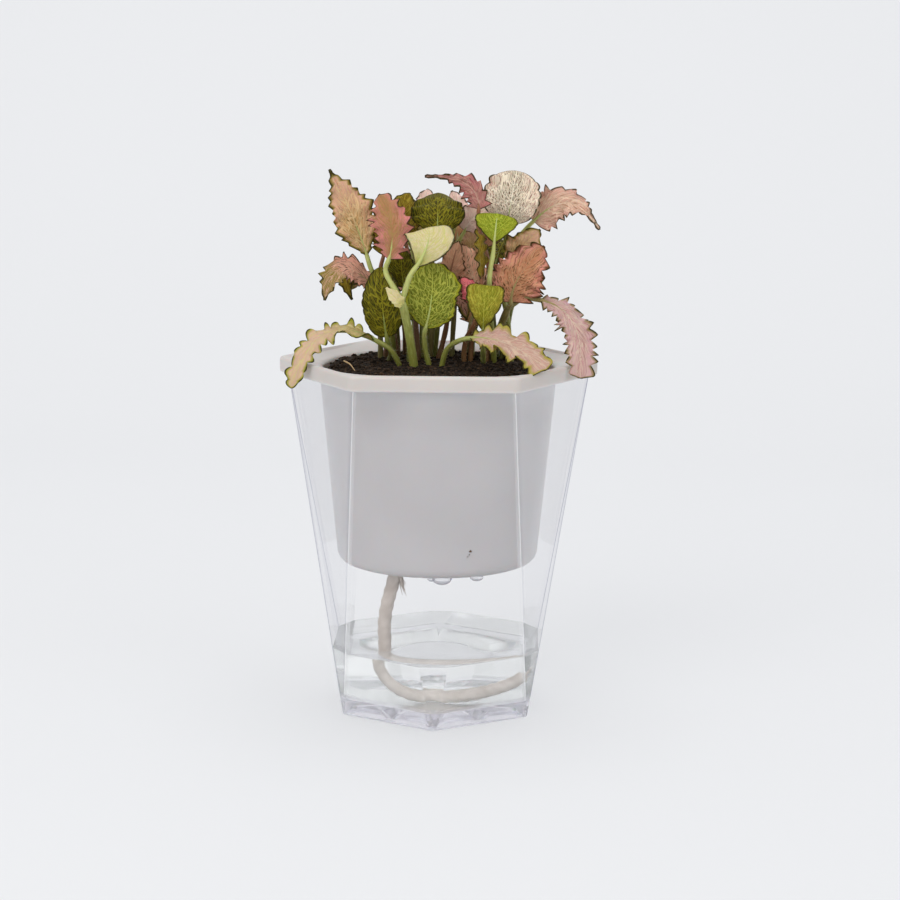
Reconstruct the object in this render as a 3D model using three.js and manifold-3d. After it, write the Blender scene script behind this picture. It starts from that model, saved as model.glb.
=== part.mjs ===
// Nerve plant in a self-watering pot: a clear faceted reservoir, a white liner pot with a
// six-sided rim, potting soil, water, a cotton wick and the plant's leaves on their stalks.
// Millimetres, +Z up. The origin is under the middle of the pot, on the surface it stands on.
// Seen from -Y, a flat side of the rim and a corner of the foot face the viewer.
import * as THREE from 'three';
import { ConvexGeometry } from 'three/addons/geometries/ConvexGeometry.js';
import { mergeVertices } from 'three/addons/utils/BufferGeometryUtils.js';
import Module from 'manifold-3d';

const wasm = await Module();
wasm.setup();

// Driving dimensions
const GAP = 0.3;
const RESERVOIR = { mouthR: 54.2, footR: 38, height: 124, wall: 1.8 };
const FLOOR = { top: 6, under: 3.8, discR: 20.5, discTop: 6.6, ribs: 12, ribWidth: 2.4, ribFoot: 0.8 };
const RIM = { cornerR: 57.2, fillet: 4, top: 126.7, bottom: 121.2, skirt: 1.5, plate: 2.4 };
const CUP = { mouthR: 42.6, footR: 36, floor: 53.5, corner: 4, wall: 1.4, collarR: 44.8 };
const DRAIN = { count: 4, ringR: 21.8, holeR: 2.6, firstAngle: -131 };
const SOIL = { edge: 121.8, shoulder: 124, crown: 1.7, hollow: 118 };
const WATER = { level: 23.7 };
const WICK = { diameter: 4.7, sides: 8, steps: 30 };
const BLADE = { thickness: 0.66, toothReach: 0.16, narrowest: 0.45 };
const WIDE = { rows: 14, columns: [-1, -0.5, 0, 0.5, 1] };
const SLIM = { rows: 10, columns: [-1, 0, 1] };
const STALK = { radius: 1.05, sides: 5, clearance: 0.6, root: 119, ribReach: 0.2 };

// Route of the wick, from inside the soil through the liner's floor and along under the water
const WICK_ROUTE = [
  [-14.0, -16.2, 62], [-14.1, -16.3, 58], [-14.3, -16.4, 54.5], [-14.6, -16.5, 51], [-15.6, -16.7, 46.5],
  [-16.8, -17, 42], [-17.8, -17.2, 37], [-18.2, -17.4, 32], [-18, -17.6, 27.5], [-18, -17.8, 23.7],
  [-18, -18, 20], [-16.4, -18.2, 16.4], [-13.6, -18.3, 13.4], [-10, -18.2, 11.2], [-5.6, -18, 9.9],
  [-0.5, -18, 9.4], [5, -17.8, 9.4], [10.5, -17.4, 9.7], [16, -17, 10.3], [21.5, -16.6, 11.4],
  [26.6, -16.2, 13], [30.4, -15.6, 15],
];

// Colours of the plastic, water, soil, cotton and the kinds of leaf
const FINISH = {
  clear: { color: 0xe8edf0, roughness: 0.05, metalness: 0, transparent: true, opacity: 0.3 },
  white: { color: 0xf0efec, roughness: 0.35, metalness: 0 },
  soil: { color: 0x2c2119, roughness: 1, metalness: 0 },
  water: { color: 0xdbe9ea, roughness: 0.02, metalness: 0, transparent: true, opacity: 0.35 },
  cotton: { color: 0xb9ad9c, roughness: 0.95, metalness: 0 },
  tan: { color: 0xc9a57d, roughness: 0.55, metalness: 0 },
  rosy: { color: 0xd28d8c, roughness: 0.55, metalness: 0 },
  cream: { color: 0xe0dda6, roughness: 0.6, metalness: 0 },
  green: { color: 0x8fa24d, roughness: 0.5, metalness: 0 },
  dark: { color: 0x5f6b20, roughness: 0.5, metalness: 0 },
  olive: { color: 0x8a7a32, roughness: 0.55, metalness: 0 },
  spotted: { color: 0xb98873, roughness: 0.55, metalness: 0 },
  crimson: { color: 0xc2656f, roughness: 0.5, metalness: 0 },
  net: { color: 0xd9c3b4, roughness: 0.55, metalness: 0 },
  pink: { color: 0xdcaea8, roughness: 0.55, metalness: 0 },
};

// Leaves. base, mid and tip are points of the midrib; half is the widest half width. face is the
// way the upper side looks, as [azimuth, elevation] in degrees. root is where the stalk leaves the
// soil, and via lists points that it bends round. form sets where the blade is widest, cup how far
// its halves fold up, in degrees, and ruffle how far its margin waves.
const OVATE = [0.6, 0.85];
const ROUND = [0.5, 0.5];
const FAN = [0.95, 0.28];
const TAILED = [0.5, 1.25];
const LEAVES = [
  { name: 'leaf_left_tall', kind: 'tan', root: [-16, 9], base: [-25, -7, 163], mid: [-30.6, -9, 178.5],
    tip: [-37.8, -12, 193.4], half: 6.8, face: [-80, 15], cup: 12, ruffle: 0.9, form: [1.5, 1.15],
    via: [[-18.5, -3, 147]] },
  { name: 'leaf_left_shy', kind: 'olive', root: [-12.5, 17], base: [-19.5, -1, 163],
    mid: [-18.5, -2, 173], tip: [-19, 0, 184], half: 5, face: [-80, 10], cup: 10, ruffle: 0.7,
    via: [[-13.5, 11.5, 141]] },
  { name: 'leaf_left_spotted', kind: 'spotted', root: [-21, 7], base: [-23, -2.4, 152],
    mid: [-34, -8, 158.5], tip: [-39.5, -13, 148], half: 4.2, face: [-90, 35], cup: 8, ruffle: 0.7,
    via: [[-21, 3, 141.5]] },
  { name: 'leaf_left_small', kind: 'olive', root: [-20, 9.5], base: [-27, 5, 152], mid: [-33, 5, 154],
    tip: [-31, 4, 146.5], half: 2.4, face: [-90, 30], cup: 5, ruffle: 0.4, via: [[-18.5, 8.5, 135]] },
  { name: 'leaf_front_dark', kind: 'dark', root: [-18, 4], base: [-17.8, -12, 135.2],
    mid: [-19.3, -13.5, 147], tip: [-20, -10, 159.5], half: 6.8, face: [-95, 12], cup: -5, ruffle: 0.6,
    form: [0.42, 0.5], via: [[-16.5, -7, 129.5]] },
  { name: 'leaf_front_broad', kind: 'green', root: [-2.5, -9.5], base: [-4, -15, 139],
    mid: [-2, -16, 150], tip: [-2, -11, 161], half: 9.4, face: [-90, 20], cup: 8, ruffle: 0.6,
    form: [0.58, 0.5], via: [[-4.5, -12, 132.5]] },
  { name: 'leaf_top_dark', kind: 'dark', root: [-4, 0], base: [-0.4, -9, 171.5], mid: [-0.3, -7, 179.3],
    tip: [-0.6, 3, 184.6], half: 9.4, face: [-90, 50], cup: -10, ruffle: 1.1, form: ROUND,
    via: [[-5, -9, 152]] },
  { name: 'leaf_top_olive', kind: 'olive', root: [-7, 0.5], base: [-12, 1, 167.5], mid: [-13, 2, 177],
    tip: [-10.5, 4, 184.5], half: 6.2, face: [-90, 15], cup: 10, ruffle: 0.7, via: [[-8.5, 0.5, 143]] },
  { name: 'leaf_top_curl', kind: 'pink', root: [-6.5, 9], base: [-5.5, 9, 174], mid: [-5, 10, 180],
    tip: [-4.5, 13, 185.5], half: 4.2, face: [-90, 20], cup: 10, ruffle: 0.6, via: [[-6, 9, 150.5]] },
  { name: 'leaf_top_crimson', kind: 'crimson', root: [17, 2], base: [14, -9.6, 180],
    mid: [9.4, -12.6, 189], tip: [0.6, -14, 192.5], half: 2.7, face: [-90, 10], cup: 8, ruffle: 1.1,
    form: [0.5, 0.9], via: [[18, -4.5, 157]] },
  { name: 'leaf_round_net', kind: 'net', root: [22, 8], base: [24, -6, 175], mid: [25.5, -8, 184],
    tip: [27, -5, 193], half: 9.4, face: [-90, 10], cup: 10, ruffle: 0.5, form: ROUND,
    via: [[27, 3, 158]] },
  { name: 'leaf_right_tan', kind: 'tan', root: [26, 3], base: [25, -6, 161], mid: [29.5, -7, 167],
    tip: [35.5, -9, 173], half: 5, face: [-80, 10], cup: 8, ruffle: 0.9, via: [[24.5, 1, 140]] },
  { name: 'leaf_small_bright', kind: 'green', root: [20, 2], base: [19.5, -14, 168.5],
    mid: [20, -13.5, 174], tip: [20.5, -11, 178.5], half: 7.4, face: [90, 10], cup: 6, ruffle: 0.4,
    form: FAN, via: [[18, -13.5, 156]] },
  { name: 'leaf_edge_on', kind: 'olive', root: [11.3, 2], base: [15, -13, 156], mid: [14.5, -15, 166],
    tip: [13, -15, 173.5], half: 4.6, face: [-20, 0], cup: 10, ruffle: 0.8, via: [[12, -1, 135.5]] },
  { name: 'leaf_right_tail', kind: 'pink', root: [25, 7], base: [33.2, -3, 175.5], mid: [45.5, -9, 182.3],
    tip: [55.6, -18, 173.8], half: 5.8, face: [-90, 15], cup: 8, ruffle: 1.2, form: [0.4, 1.6],
    via: [[25.2, -1.6, 164]] },
  { name: 'leaf_front_green', kind: 'green', root: [16, -1], base: [16, -18, 138.5],
    mid: [16.3, -20, 147], tip: [17, -16, 154], half: 6.5, face: [-90, 15], cup: 10, ruffle: 0.6,
    form: FAN, via: [[16, -12.5, 131.5]] },
  { name: 'leaf_centre_crimson', kind: 'crimson', root: [9, 0], base: [13, -14, 147],
    mid: [11.5, -14.5, 152], tip: [8, -13.5, 156.5], half: 3.4, face: [-90, 10], cup: 6, ruffle: 0.4,
    via: [[9.5, -2, 132]] },
  { name: 'leaf_front_pink', kind: 'pink', root: [1.2, -11], base: [12.2, -22, 136.3],
    mid: [25, -29.5, 135.2], tip: [37.6, -40.5, 128], half: 5.4, face: [-75, 50], cup: 6, ruffle: 1.0,
    form: [0.5, 0.45], via: [[3.5, -14.5, 131.5]] },
  { name: 'leaf_left_droop', kind: 'pink', root: [-12.6, -9], base: [-22, -14, 134.5],
    mid: [-39.5, -18, 136.3], tip: [-50, -26, 118.8], half: 3.6, face: [-100, 70], cup: 6, ruffle: 1.0,
    form: [0.35, 0.35], via: [[-16.5, -13, 131]] },
  { name: 'leaf_centre_olive', kind: 'olive', root: [-0.6, 3.8], base: [3.5, -7, 154], mid: [5, -8, 161],
    tip: [7, -5, 168.5], half: 4, face: [90, 10], cup: 8, ruffle: 0.4, via: [[3, 1.5, 139.5]] },
  { name: 'leaf_centre_spotted', kind: 'spotted', root: [11, 10.5], base: [13.5, -1, 150.5],
    mid: [10.5, -2, 159.5], tip: [8, -1, 167], half: 5.2, face: [-90, 15], cup: 8, ruffle: 0.6,
    via: [[12, 9, 133]] },
  { name: 'leaf_centre_salmon', kind: 'tan', root: [20, 14.5], base: [11.5, 8, 160], mid: [11, 8, 166.5],
    tip: [11, 10, 173], half: 4, face: [-90, 15], cup: 8, ruffle: 0.5, via: [[16.5, 11.5, 140]] },
  { name: 'leaf_top_pale', kind: 'pink', root: [20, 21.5], base: [9, 4, 171.5], mid: [12.5, 4, 176.5],
    tip: [19, 6, 181.5], half: 4.4, face: [-90, 15], cup: 8, ruffle: 0.6, via: [[19, 20, 133]] },
  { name: 'leaf_top_blush', kind: 'pink', root: [-2, 15], base: [5.5, 10, 173], mid: [6, 10, 179],
    tip: [4, 12, 185], half: 4, face: [-90, 20], cup: 8, ruffle: 0.6, via: [[1.5, 12.5, 156]] },
  { name: 'leaf_mid_dark', kind: 'dark', root: [-10, -5.5], base: [-12, -6, 152], mid: [-13, -6, 160],
    tip: [-12.5, -5, 166], half: 4.6, face: [-90, 10], cup: 8, ruffle: 0.5, via: [[-10.5, -5.5, 139]] },
  { name: 'leaf_low_brown', kind: 'spotted', root: [-3.5, 9.5], base: [3, 3, 147], mid: [7, -1, 148],
    tip: [10, -4, 140.5], half: 3.6, face: [-60, 50], cup: 6, ruffle: 0.5, via: [[-1.5, 7.5, 140]] },
  { name: 'leaf_back_01', kind: 'green', root: [-8, 5], base: [-10, 16, 161], mid: [-12, 23, 169],
    tip: [-16, 32, 170], half: 7, face: [90, 60], cup: 10, ruffle: 0.7, via: [[-9, 10.5, 148]] },
  { name: 'leaf_back_02', kind: 'rosy', root: [4.5, 13.5], base: [6, 18, 164], mid: [6, 26, 173],
    tip: [6, 37, 171], half: 7.6, face: [90, 60], cup: 10, ruffle: 0.7, form: ROUND,
    via: [[4.5, 13.5, 128]] },
  { name: 'leaf_back_03', kind: 'dark', root: [21, 11], base: [20, 15, 158], mid: [23, 24, 166],
    tip: [27, 34, 163], half: 7, face: [80, 60], cup: 10, ruffle: 0.7, via: [[19, 10, 146.5]] },
  { name: 'leaf_back_04', kind: 'spotted', root: [-15, 14.5], base: [-17, 17, 147], mid: [-19, 27, 153],
    tip: [-21, 38, 147], half: 6.4, face: [100, 60], cup: 10, ruffle: 0.7, via: [[-15.5, 13, 137]] },
  { name: 'leaf_back_05', kind: 'net', root: [-3, 17.5], base: [-2, 24, 150], mid: [-2, 33, 157],
    tip: [-2, 44, 152], half: 7.6, face: [90, 60], cup: 10, ruffle: 0.6, form: ROUND,
    via: [[-2.5, 19.5, 138]] },
  { name: 'leaf_back_06', kind: 'pink', root: [11.5, 14.5], base: [14, 22, 147], mid: [17, 31, 153],
    tip: [20, 41, 147], half: 6.4, face: [85, 60], cup: 10, ruffle: 0.8, via: [[12.5, 17.5, 139]] },
  { name: 'leaf_back_07', kind: 'green', root: [24, 10], base: [27, 12, 147], mid: [31, 18, 153],
    tip: [36, 26, 149], half: 5.6, face: [50, 55], cup: 10, ruffle: 0.6, via: [[24.5, 9.5, 137.5]] },
  { name: 'leaf_back_08', kind: 'green', root: [-9.5, 25.5], base: [-10, 26, 136], mid: [-12, 34, 141],
    tip: [-14, 44, 135], half: 5.6, face: [95, 60], cup: 8, ruffle: 0.7, via: [[-9.5, 25, 132.5]] },
  { name: 'leaf_back_09', kind: 'rosy', root: [10.5, 25], base: [11, 27, 136], mid: [13, 35, 140],
    tip: [16, 45, 134], half: 5.4, face: [85, 60], cup: 8, ruffle: 0.7, via: [[10.5, 25, 131.5]] },
  { name: 'leaf_back_10', kind: 'tan', root: [-3.5, 12.5], base: [-5, 13, 170], mid: [-6, 16, 177],
    tip: [-8, 24, 180], half: 5.6, face: [90, 50], cup: 8, ruffle: 0.6, via: [[-4, 12.5, 145]] },
  { name: 'leaf_back_11', kind: 'crimson', root: [17, 5], base: [16, 10, 165], mid: [18, 13, 174],
    tip: [20, 20, 178], half: 5.4, face: [85, 45], cup: 8, ruffle: 0.7, via: [[16.5, 7.5, 148.5]] },
  { name: 'leaf_back_12', kind: 'olive', root: [-14.5, 11.5], base: [-22, 14, 146], mid: [-28, 20, 151],
    tip: [-34, 26, 147], half: 4.8, face: [130, 60], cup: 8, ruffle: 0.6, via: [[-17.5, 10.5, 137]] },
];

// Two leafy stems that carry a pair of leaves from one fork
const SPRIGS = [
  { name: 'sprig_front', kind: 'cream', root: [-8, -12.6], fork: [-12, -22, 149], radius: 1.5, leaves: [
    { base: [-17, -15, 162.5], mid: [-16, -16.5, 174], tip: [-20.5, -14, 185], half: 5.1, face: [-90, 10],
      cup: 6, ruffle: 0.6 },
    { base: [-7, -22, 160], mid: [-3.5, -20.5, 168], tip: [-3, -17, 174], half: 8.7, face: [90, 10],
      cup: 4, ruffle: 0.4, form: FAN },
  ] },
  { name: 'sprig_right', kind: 'rosy', root: [18.7, 9], fork: [24.5, -6, 145], radius: 1.4, leaves: [
    { base: [25.5, -8, 147.5], mid: [28.5, -10.5, 157], tip: [37, -12, 167.5], half: 8, face: [-85, 15],
      cup: 8, ruffle: 0.9 },
    { base: [35.5, -9, 148], mid: [46.5, -15, 140], tip: [49.5, -23.5, 122.5], half: 4.4, face: [-90, 40],
      cup: 6, ruffle: 0.9, via: [[30, -8, 149]] },
  ] },
];

// Solids and meshes
const xyz = (point) => new THREE.Vector3(...point);
const radians = THREE.MathUtils.degToRad;

function solid(geometry) {
  const bare = geometry.clone();
  bare.deleteAttribute('normal');
  bare.deleteAttribute('uv');
  const merged = mergeVertices(bare, 1e-4);
  const vertProperties = new Float32Array(merged.attributes.position.array);
  const triVerts = new Uint32Array(merged.index.array);
  return new wasm.Manifold(new wasm.Mesh({ numProp: 3, vertProperties, triVerts }));
}

function mesh(name, body, finish) {
  const { numProp, vertProperties, triVerts } = body.getMesh();
  const geometry = new THREE.BufferGeometry();
  const points = [];
  for (let i = 0; i < vertProperties.length; i += numProp) {
    points.push(vertProperties[i], vertProperties[i + 1], vertProperties[i + 2]);
  }
  geometry.setAttribute('position', new THREE.Float32BufferAttribute(points, 3));
  geometry.setIndex([...triVerts]);
  geometry.computeVertexNormals();
  const object = new THREE.Mesh(geometry, new THREE.MeshStandardMaterial(FINISH[finish]));
  object.name = name;
  return object;
}

const join = (bodies) => bodies.reduce((whole, body) => whole.add(body));

function disc(radius, low, high, x = 0, y = 0, sides = 32) {
  const geometry = new THREE.CylinderGeometry(radius, radius, high - low, sides);
  geometry.rotateX(Math.PI / 2);
  geometry.translate(x, y, (low + high) / 2);
  return solid(geometry);
}

function turned(profile, sides = 36) {
  const geometry = new THREE.LatheGeometry(profile.map((p) => new THREE.Vector2(...p)), sides);
  geometry.rotateX(Math.PI / 2);
  return solid(geometry);
}

function tube(points, radius, sides, steps) {
  const section = new THREE.Shape();
  for (let i = 0; i < sides; i++) {
    const angle = (2 * Math.PI * i) / sides;
    const place = [radius * Math.cos(angle), radius * Math.sin(angle)];
    if (i === 0) {
      section.moveTo(...place);
    } else {
      section.lineTo(...place);
    }
  }
  const extrudePath = new THREE.CatmullRomCurve3(points.map(xyz), false, 'centripetal');
  return solid(new THREE.ExtrudeGeometry(section, { steps, extrudePath, bevelEnabled: false }));
}

// Reservoir: a hexagon foot turned half a side against a hexagon mouth, joined by twelve triangles
function hexagon(radius, z, turn) {
  return Array.from({ length: 6 }, (_, i) => {
    const angle = radians(60 * i + turn);
    return new THREE.Vector3(radius * Math.cos(angle), radius * Math.sin(angle), z);
  });
}

const twisted = (footR, footZ, mouthR, mouthZ) =>
  solid(new ConvexGeometry([...hexagon(footR, footZ, 30), ...hexagon(mouthR, mouthZ, 0)]));

// The hollow's faces lie inset from the reservoir's own, and run past the mouth
function hollow(inset, low, high) {
  const over = 10;
  const rise = (RESERVOIR.mouthR - RESERVOIR.footR) / RESERVOIR.height;
  const footR = RESERVOIR.footR - inset - rise * over;
  const mouthR = RESERVOIR.mouthR - inset + rise * over;
  const block = twisted(footR, -over, mouthR, RESERVOIR.height + over);
  return block.intersect(disc(80, low, high));
}

function reservoir() {
  const shell = twisted(RESERVOIR.footR, 0, RESERVOIR.mouthR, RESERVOIR.height);
  const room = hollow(RESERVOIR.wall, FLOOR.top, RESERVOIR.height + 5);
  const inside = room.subtract(disc(FLOOR.discR, 0, FLOOR.discTop));
  let recess = hollow(RESERVOIR.wall, -1, FLOOR.under).subtract(disc(FLOOR.discR, -1, FLOOR.top));
  for (let i = 0; i < FLOOR.ribs; i++) {
    const rib = new THREE.BoxGeometry(40, FLOOR.ribWidth, FLOOR.under - FLOOR.ribFoot + 1);
    rib.translate(FLOOR.discR + 19, 0, (FLOOR.under + 1 + FLOOR.ribFoot) / 2);
    rib.rotateZ((2 * Math.PI * i) / FLOOR.ribs);
    recess = recess.subtract(solid(rib));
  }
  return shell.subtract(inside).subtract(recess);
}

// Liner pot: a round tapered cup under a six-sided rim with a skirt and a sloping collar
function roundedHexagon(cornerR, fillet) {
  const shape = new THREE.Shape();
  const centreR = cornerR - fillet / Math.cos(Math.PI / 6);
  for (let i = 0; i < 6; i++) {
    const middle = radians(60 * i);
    const start = middle - Math.PI / 6;
    const cx = centreR * Math.cos(middle);
    const cy = centreR * Math.sin(middle);
    if (i === 0) {
      shape.moveTo(cx + fillet * Math.cos(start), cy + fillet * Math.sin(start));
    }
    shape.absarc(cx, cy, fillet, start, middle + Math.PI / 6, false);
  }
  return shape;
}

function slab(shape, low, high) {
  const settings = { depth: high - low, bevelEnabled: false, curveSegments: 3 };
  const geometry = new THREE.ExtrudeGeometry(shape, settings);
  geometry.translate(0, 0, low);
  return solid(geometry);
}

function innerPot() {
  const { cornerR, fillet, top, bottom, skirt, plate } = RIM;
  const inner = { cornerR: cornerR - skirt / Math.cos(Math.PI / 6), fillet: fillet - skirt };
  const rim = slab(roundedHexagon(cornerR, fillet), bottom, top)
    .subtract(slab(roundedHexagon(inner.cornerR, inner.fillet), bottom - 1, top - plate));
  const ring = disc(CUP.collarR, bottom + 1.2, top - 1, 0, 0, 36);
  const cup = turned([
    [0, CUP.floor], [CUP.footR - CUP.corner, CUP.floor], [CUP.footR - 1.2, CUP.floor + 1.2],
    [CUP.footR, CUP.floor + CUP.corner], [CUP.mouthR, top - 2], [0, top - 2],
  ]);
  const insideFoot = CUP.footR - CUP.wall;
  const insideMouth = CUP.mouthR - CUP.wall;
  const space = turned([
    [0, CUP.floor + CUP.wall + 0.5], [insideFoot - 3, CUP.floor + CUP.wall + 0.5],
    [insideFoot, CUP.floor + CUP.corner + 0.5], [insideMouth, top - 2.4], [cornerR - 4, top + 0.1],
    [cornerR - 4, top + 5], [0, top + 5],
  ]);
  let pot = join([rim, ring, cup]).subtract(space);
  for (let i = 0; i < DRAIN.count; i++) {
    const angle = radians(DRAIN.firstAngle + (360 * i) / DRAIN.count);
    const [x, y] = [DRAIN.ringR * Math.cos(angle), DRAIN.ringR * Math.sin(angle)];
    pot = pot.subtract(disc(DRAIN.holeR, CUP.floor - 1, CUP.floor + 3, x, y, 10));
  }
  return pot;
}

// Wick and water
const wickTube = (radius) => tube(WICK_ROUTE, radius, WICK.sides, WICK.steps);

function water() {
  const body = hollow(RESERVOIR.wall + GAP, FLOOR.top + GAP, WATER.level);
  const route = [...WICK_ROUTE.slice(8), [31.4, -15.3, 15.6]];
  const passage = tube(route, WICK.diameter / 2 + 0.5, WICK.sides, 26);
  return body.subtract(disc(FLOOR.discR + GAP, 0, FLOOR.discTop + GAP)).subtract(passage);
}

// Leaves
function direction([azimuth, elevation]) {
  const [a, e] = [radians(azimuth), radians(elevation)];
  return new THREE.Vector3(Math.cos(a) * Math.cos(e), Math.sin(a) * Math.cos(e), Math.sin(e));
}

// Broad blades take a finer grid than slim ones. Every second row ends in a tooth.
const grid = (leaf) => (leaf.half > 6.5 ? WIDE : SLIM);

// Midrib: the parabola through base, mid and tip, and the blade's axes along it
function midrib(leaf, u) {
  const [base, mid, tip] = [xyz(leaf.base), xyz(leaf.mid), xyz(leaf.tip)];
  const bend = mid.clone().multiplyScalar(2).sub(base.clone().add(tip).multiplyScalar(0.5));
  const curve = new THREE.QuadraticBezierCurve3(base, bend, tip);
  const along = curve.getTangent(u);
  const face = direction(leaf.face);
  const up = face.sub(along.clone().multiplyScalar(face.dot(along))).normalize();
  return { at: curve.getPoint(u), along, up, side: along.clone().cross(up) };
}

// Half width: a power of the way from the base times a power of the way to the tip
function halfWidth(leaf, u) {
  const [rise, fall] = leaf.form ?? OVATE;
  const widest = rise / (rise + fall);
  const peak = widest ** rise * (1 - widest) ** fall;
  return Math.max(BLADE.narrowest, (leaf.half * u ** rise * (1 - u) ** fall) / peak);
}

// A point of the blade: u runs from base to tip, v from one margin, -1, to the other, 1
function bladePoint(leaf, u, v) {
  const { at, up, side } = midrib(leaf, u);
  const out = Math.abs(v);
  const reach = halfWidth(leaf, u) * out;
  const tooth = BLADE.toothReach * Math.abs(Math.sin((Math.PI * grid(leaf).rows * u) / 2)) * out ** 4;
  const fold = radians(leaf.cup) * (0.35 + 0.65 * out);
  const phase = v > 0 ? 1.3 : 0;
  const body = Math.sqrt(Math.sin(Math.PI * u));
  const wave = leaf.ruffle * body * out ** 2 * Math.sin(8 * Math.PI * u + phase);
  const across = Math.sign(v) * reach * (1 + tooth) * Math.cos(fold);
  return at.addScaledVector(side, across).addScaledVector(up, reach * Math.sin(fold) + wave);
}

function bladeNormal(leaf, u, v) {
  const [du, dv] = [0.05, 0.2];
  const [u0, u1] = [Math.max(0, u - du), Math.min(1, u + du)];
  const [v0, v1] = [Math.max(-1, v - dv), Math.min(1, v + dv)];
  const along = bladePoint(leaf, u1, v).sub(bladePoint(leaf, u0, v));
  const across = bladePoint(leaf, u, v1).sub(bladePoint(leaf, u, v0));
  return across.cross(along).normalize();
}

// A thin closed plate whose two faces have the same triangles
function blade(leaf) {
  const { rows, columns } = grid(leaf);
  const wide = columns.length;
  const faces = [[], []];
  for (let i = 0; i <= rows; i++) {
    for (const v of columns) {
      const u = i / rows;
      const point = bladePoint(leaf, u, v);
      const offset = bladeNormal(leaf, u, v).multiplyScalar(BLADE.thickness / 2);
      faces[0].push(...point.clone().add(offset).toArray());
      faces[1].push(...point.clone().sub(offset).toArray());
    }
  }
  const under = (rows + 1) * wide;
  const index = [];
  for (let i = 0; i < rows; i++) {
    for (let j = 0; j < wide - 1; j++) {
      const [a, b, c, d] = [i * wide + j, i * wide + j + 1, (i + 1) * wide + j + 1, (i + 1) * wide + j];
      const left = columns[j] < 0;
      const halves = left ? [[a, b, d], [b, c, d]] : [[a, b, c], [a, c, d]];
      for (const [p, q, r] of halves) {
        index.push(p, q, r, under + p, under + r, under + q);
      }
    }
  }
  const edge = [];
  for (let j = 0; j < wide - 1; j++) {
    edge.push(j);
  }
  for (let i = 0; i < rows; i++) {
    edge.push(i * wide + wide - 1);
  }
  for (let j = wide - 1; j > 0; j--) {
    edge.push(rows * wide + j);
  }
  for (let i = rows; i > 0; i--) {
    edge.push(i * wide);
  }
  edge.forEach((p, k) => {
    const q = edge[(k + 1) % edge.length];
    index.push(q, p, under + p, q, under + p, under + q);
  });
  const geometry = new THREE.BufferGeometry();
  geometry.setAttribute('position', new THREE.Float32BufferAttribute(faces.flat(), 3));
  geometry.setIndex(index);
  return solid(geometry);
}

// Stalk: from start, bending into the line of the midrib and on under the blade
function stalk(leaf, start, radius) {
  const { at, along } = midrib(leaf, 0);
  const lead = at.clone().distanceTo(xyz(start.at(-1))) * 0.25;
  const rib = [0.1, STALK.ribReach].map((u) => {
    const place = midrib(leaf, u);
    return place.at.addScaledVector(place.up, -0.3).toArray();
  });
  const approach = at.clone().addScaledVector(along, -lead).toArray();
  const points = [...start, ...(leaf.via ?? []), approach, at.toArray(), ...rib];
  return tube(points, radius, STALK.sides, start.length + 5);
}

const rootPoints = ([x, y]) => [[x, y, STALK.root], [x, y, STALK.root + 4], [x, y, STALK.root + 8.5]];

const singleLeaf = (leaf) => blade(leaf).add(stalk(leaf, rootPoints(leaf.root), STALK.radius));

function sprig({ root, fork, radius, leaves }) {
  const start = rootPoints(root);
  const middle = xyz(start.at(-1)).lerp(xyz(fork), 0.5).toArray();
  const past = xyz(fork).lerp(xyz(middle), -0.12).toArray();
  const stem = tube([...start, middle, fork, past], radius, STALK.sides + 1, 9);
  const branches = leaves.map((leaf) => blade(leaf).add(stalk(leaf, [fork], STALK.radius)));
  return join([stem, ...branches]);
}

// Soil: fills the liner, crowned in the middle, with a plain hole for each stem and the wick
function soil() {
  const foot = CUP.floor + CUP.wall + 0.5 + GAP;
  const inset = CUP.wall + GAP;
  const profile = [
    [0, foot], [CUP.footR - inset - 3.2, foot], [CUP.footR - inset, foot + 3.6],
    [CUP.mouthR - inset - 0.5, SOIL.edge], [38.4, SOIL.shoulder], [24, SOIL.shoulder + 1.2],
    [12, SOIL.shoulder + 1.6], [0, SOIL.shoulder + SOIL.crown],
  ];
  let body = turned(profile, 30);
  const stems = [...LEAVES.map((leaf) => [leaf.root, STALK.radius]),
    ...SPRIGS.map((stem) => [stem.root, stem.radius])];
  for (const [[x, y], radius] of stems) {
    body = body.subtract(disc(radius + STALK.clearance, SOIL.hollow, SOIL.shoulder + 9, x, y, 6));
  }
  const [x, y, top] = WICK_ROUTE[0];
  return body.subtract(disc(WICK.diameter / 2 + 0.5, foot - 2, top + 1.5, x - 0.05, y - 0.05, 12));
}

const plant = new THREE.Group();
plant.add(mesh('reservoir', reservoir(), 'clear'));
plant.add(mesh('inner_pot', innerPot(), 'white'));
plant.add(mesh('soil', soil(), 'soil'));
plant.add(mesh('water', water(), 'water'));
plant.add(mesh('wick', wickTube(WICK.diameter / 2), 'cotton'));
for (const leaf of LEAVES) {
  plant.add(mesh(leaf.name, singleLeaf(leaf), leaf.kind));
}
for (const stem of SPRIGS) {
  plant.add(mesh(stem.name, sprig(stem), stem.kind));
}

export default plant;
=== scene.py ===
# %% [markdown]
# # A nerve plant in a self-watering pot
# This lesson dresses a measured model of a potted nerve plant. The real object is a clear plastic
# reservoir with water in it, a white liner pot hung in its mouth, soil, a cotton wick that carries
# the water up, and about forty small leaves whose veins make a net. Each step says what the piece
# is on the real object, how it could be made and why it is made this way.

# %% Load the measured model
import math

import bpy
import numpy as np
from mathutils import Matrix, Vector


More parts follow.
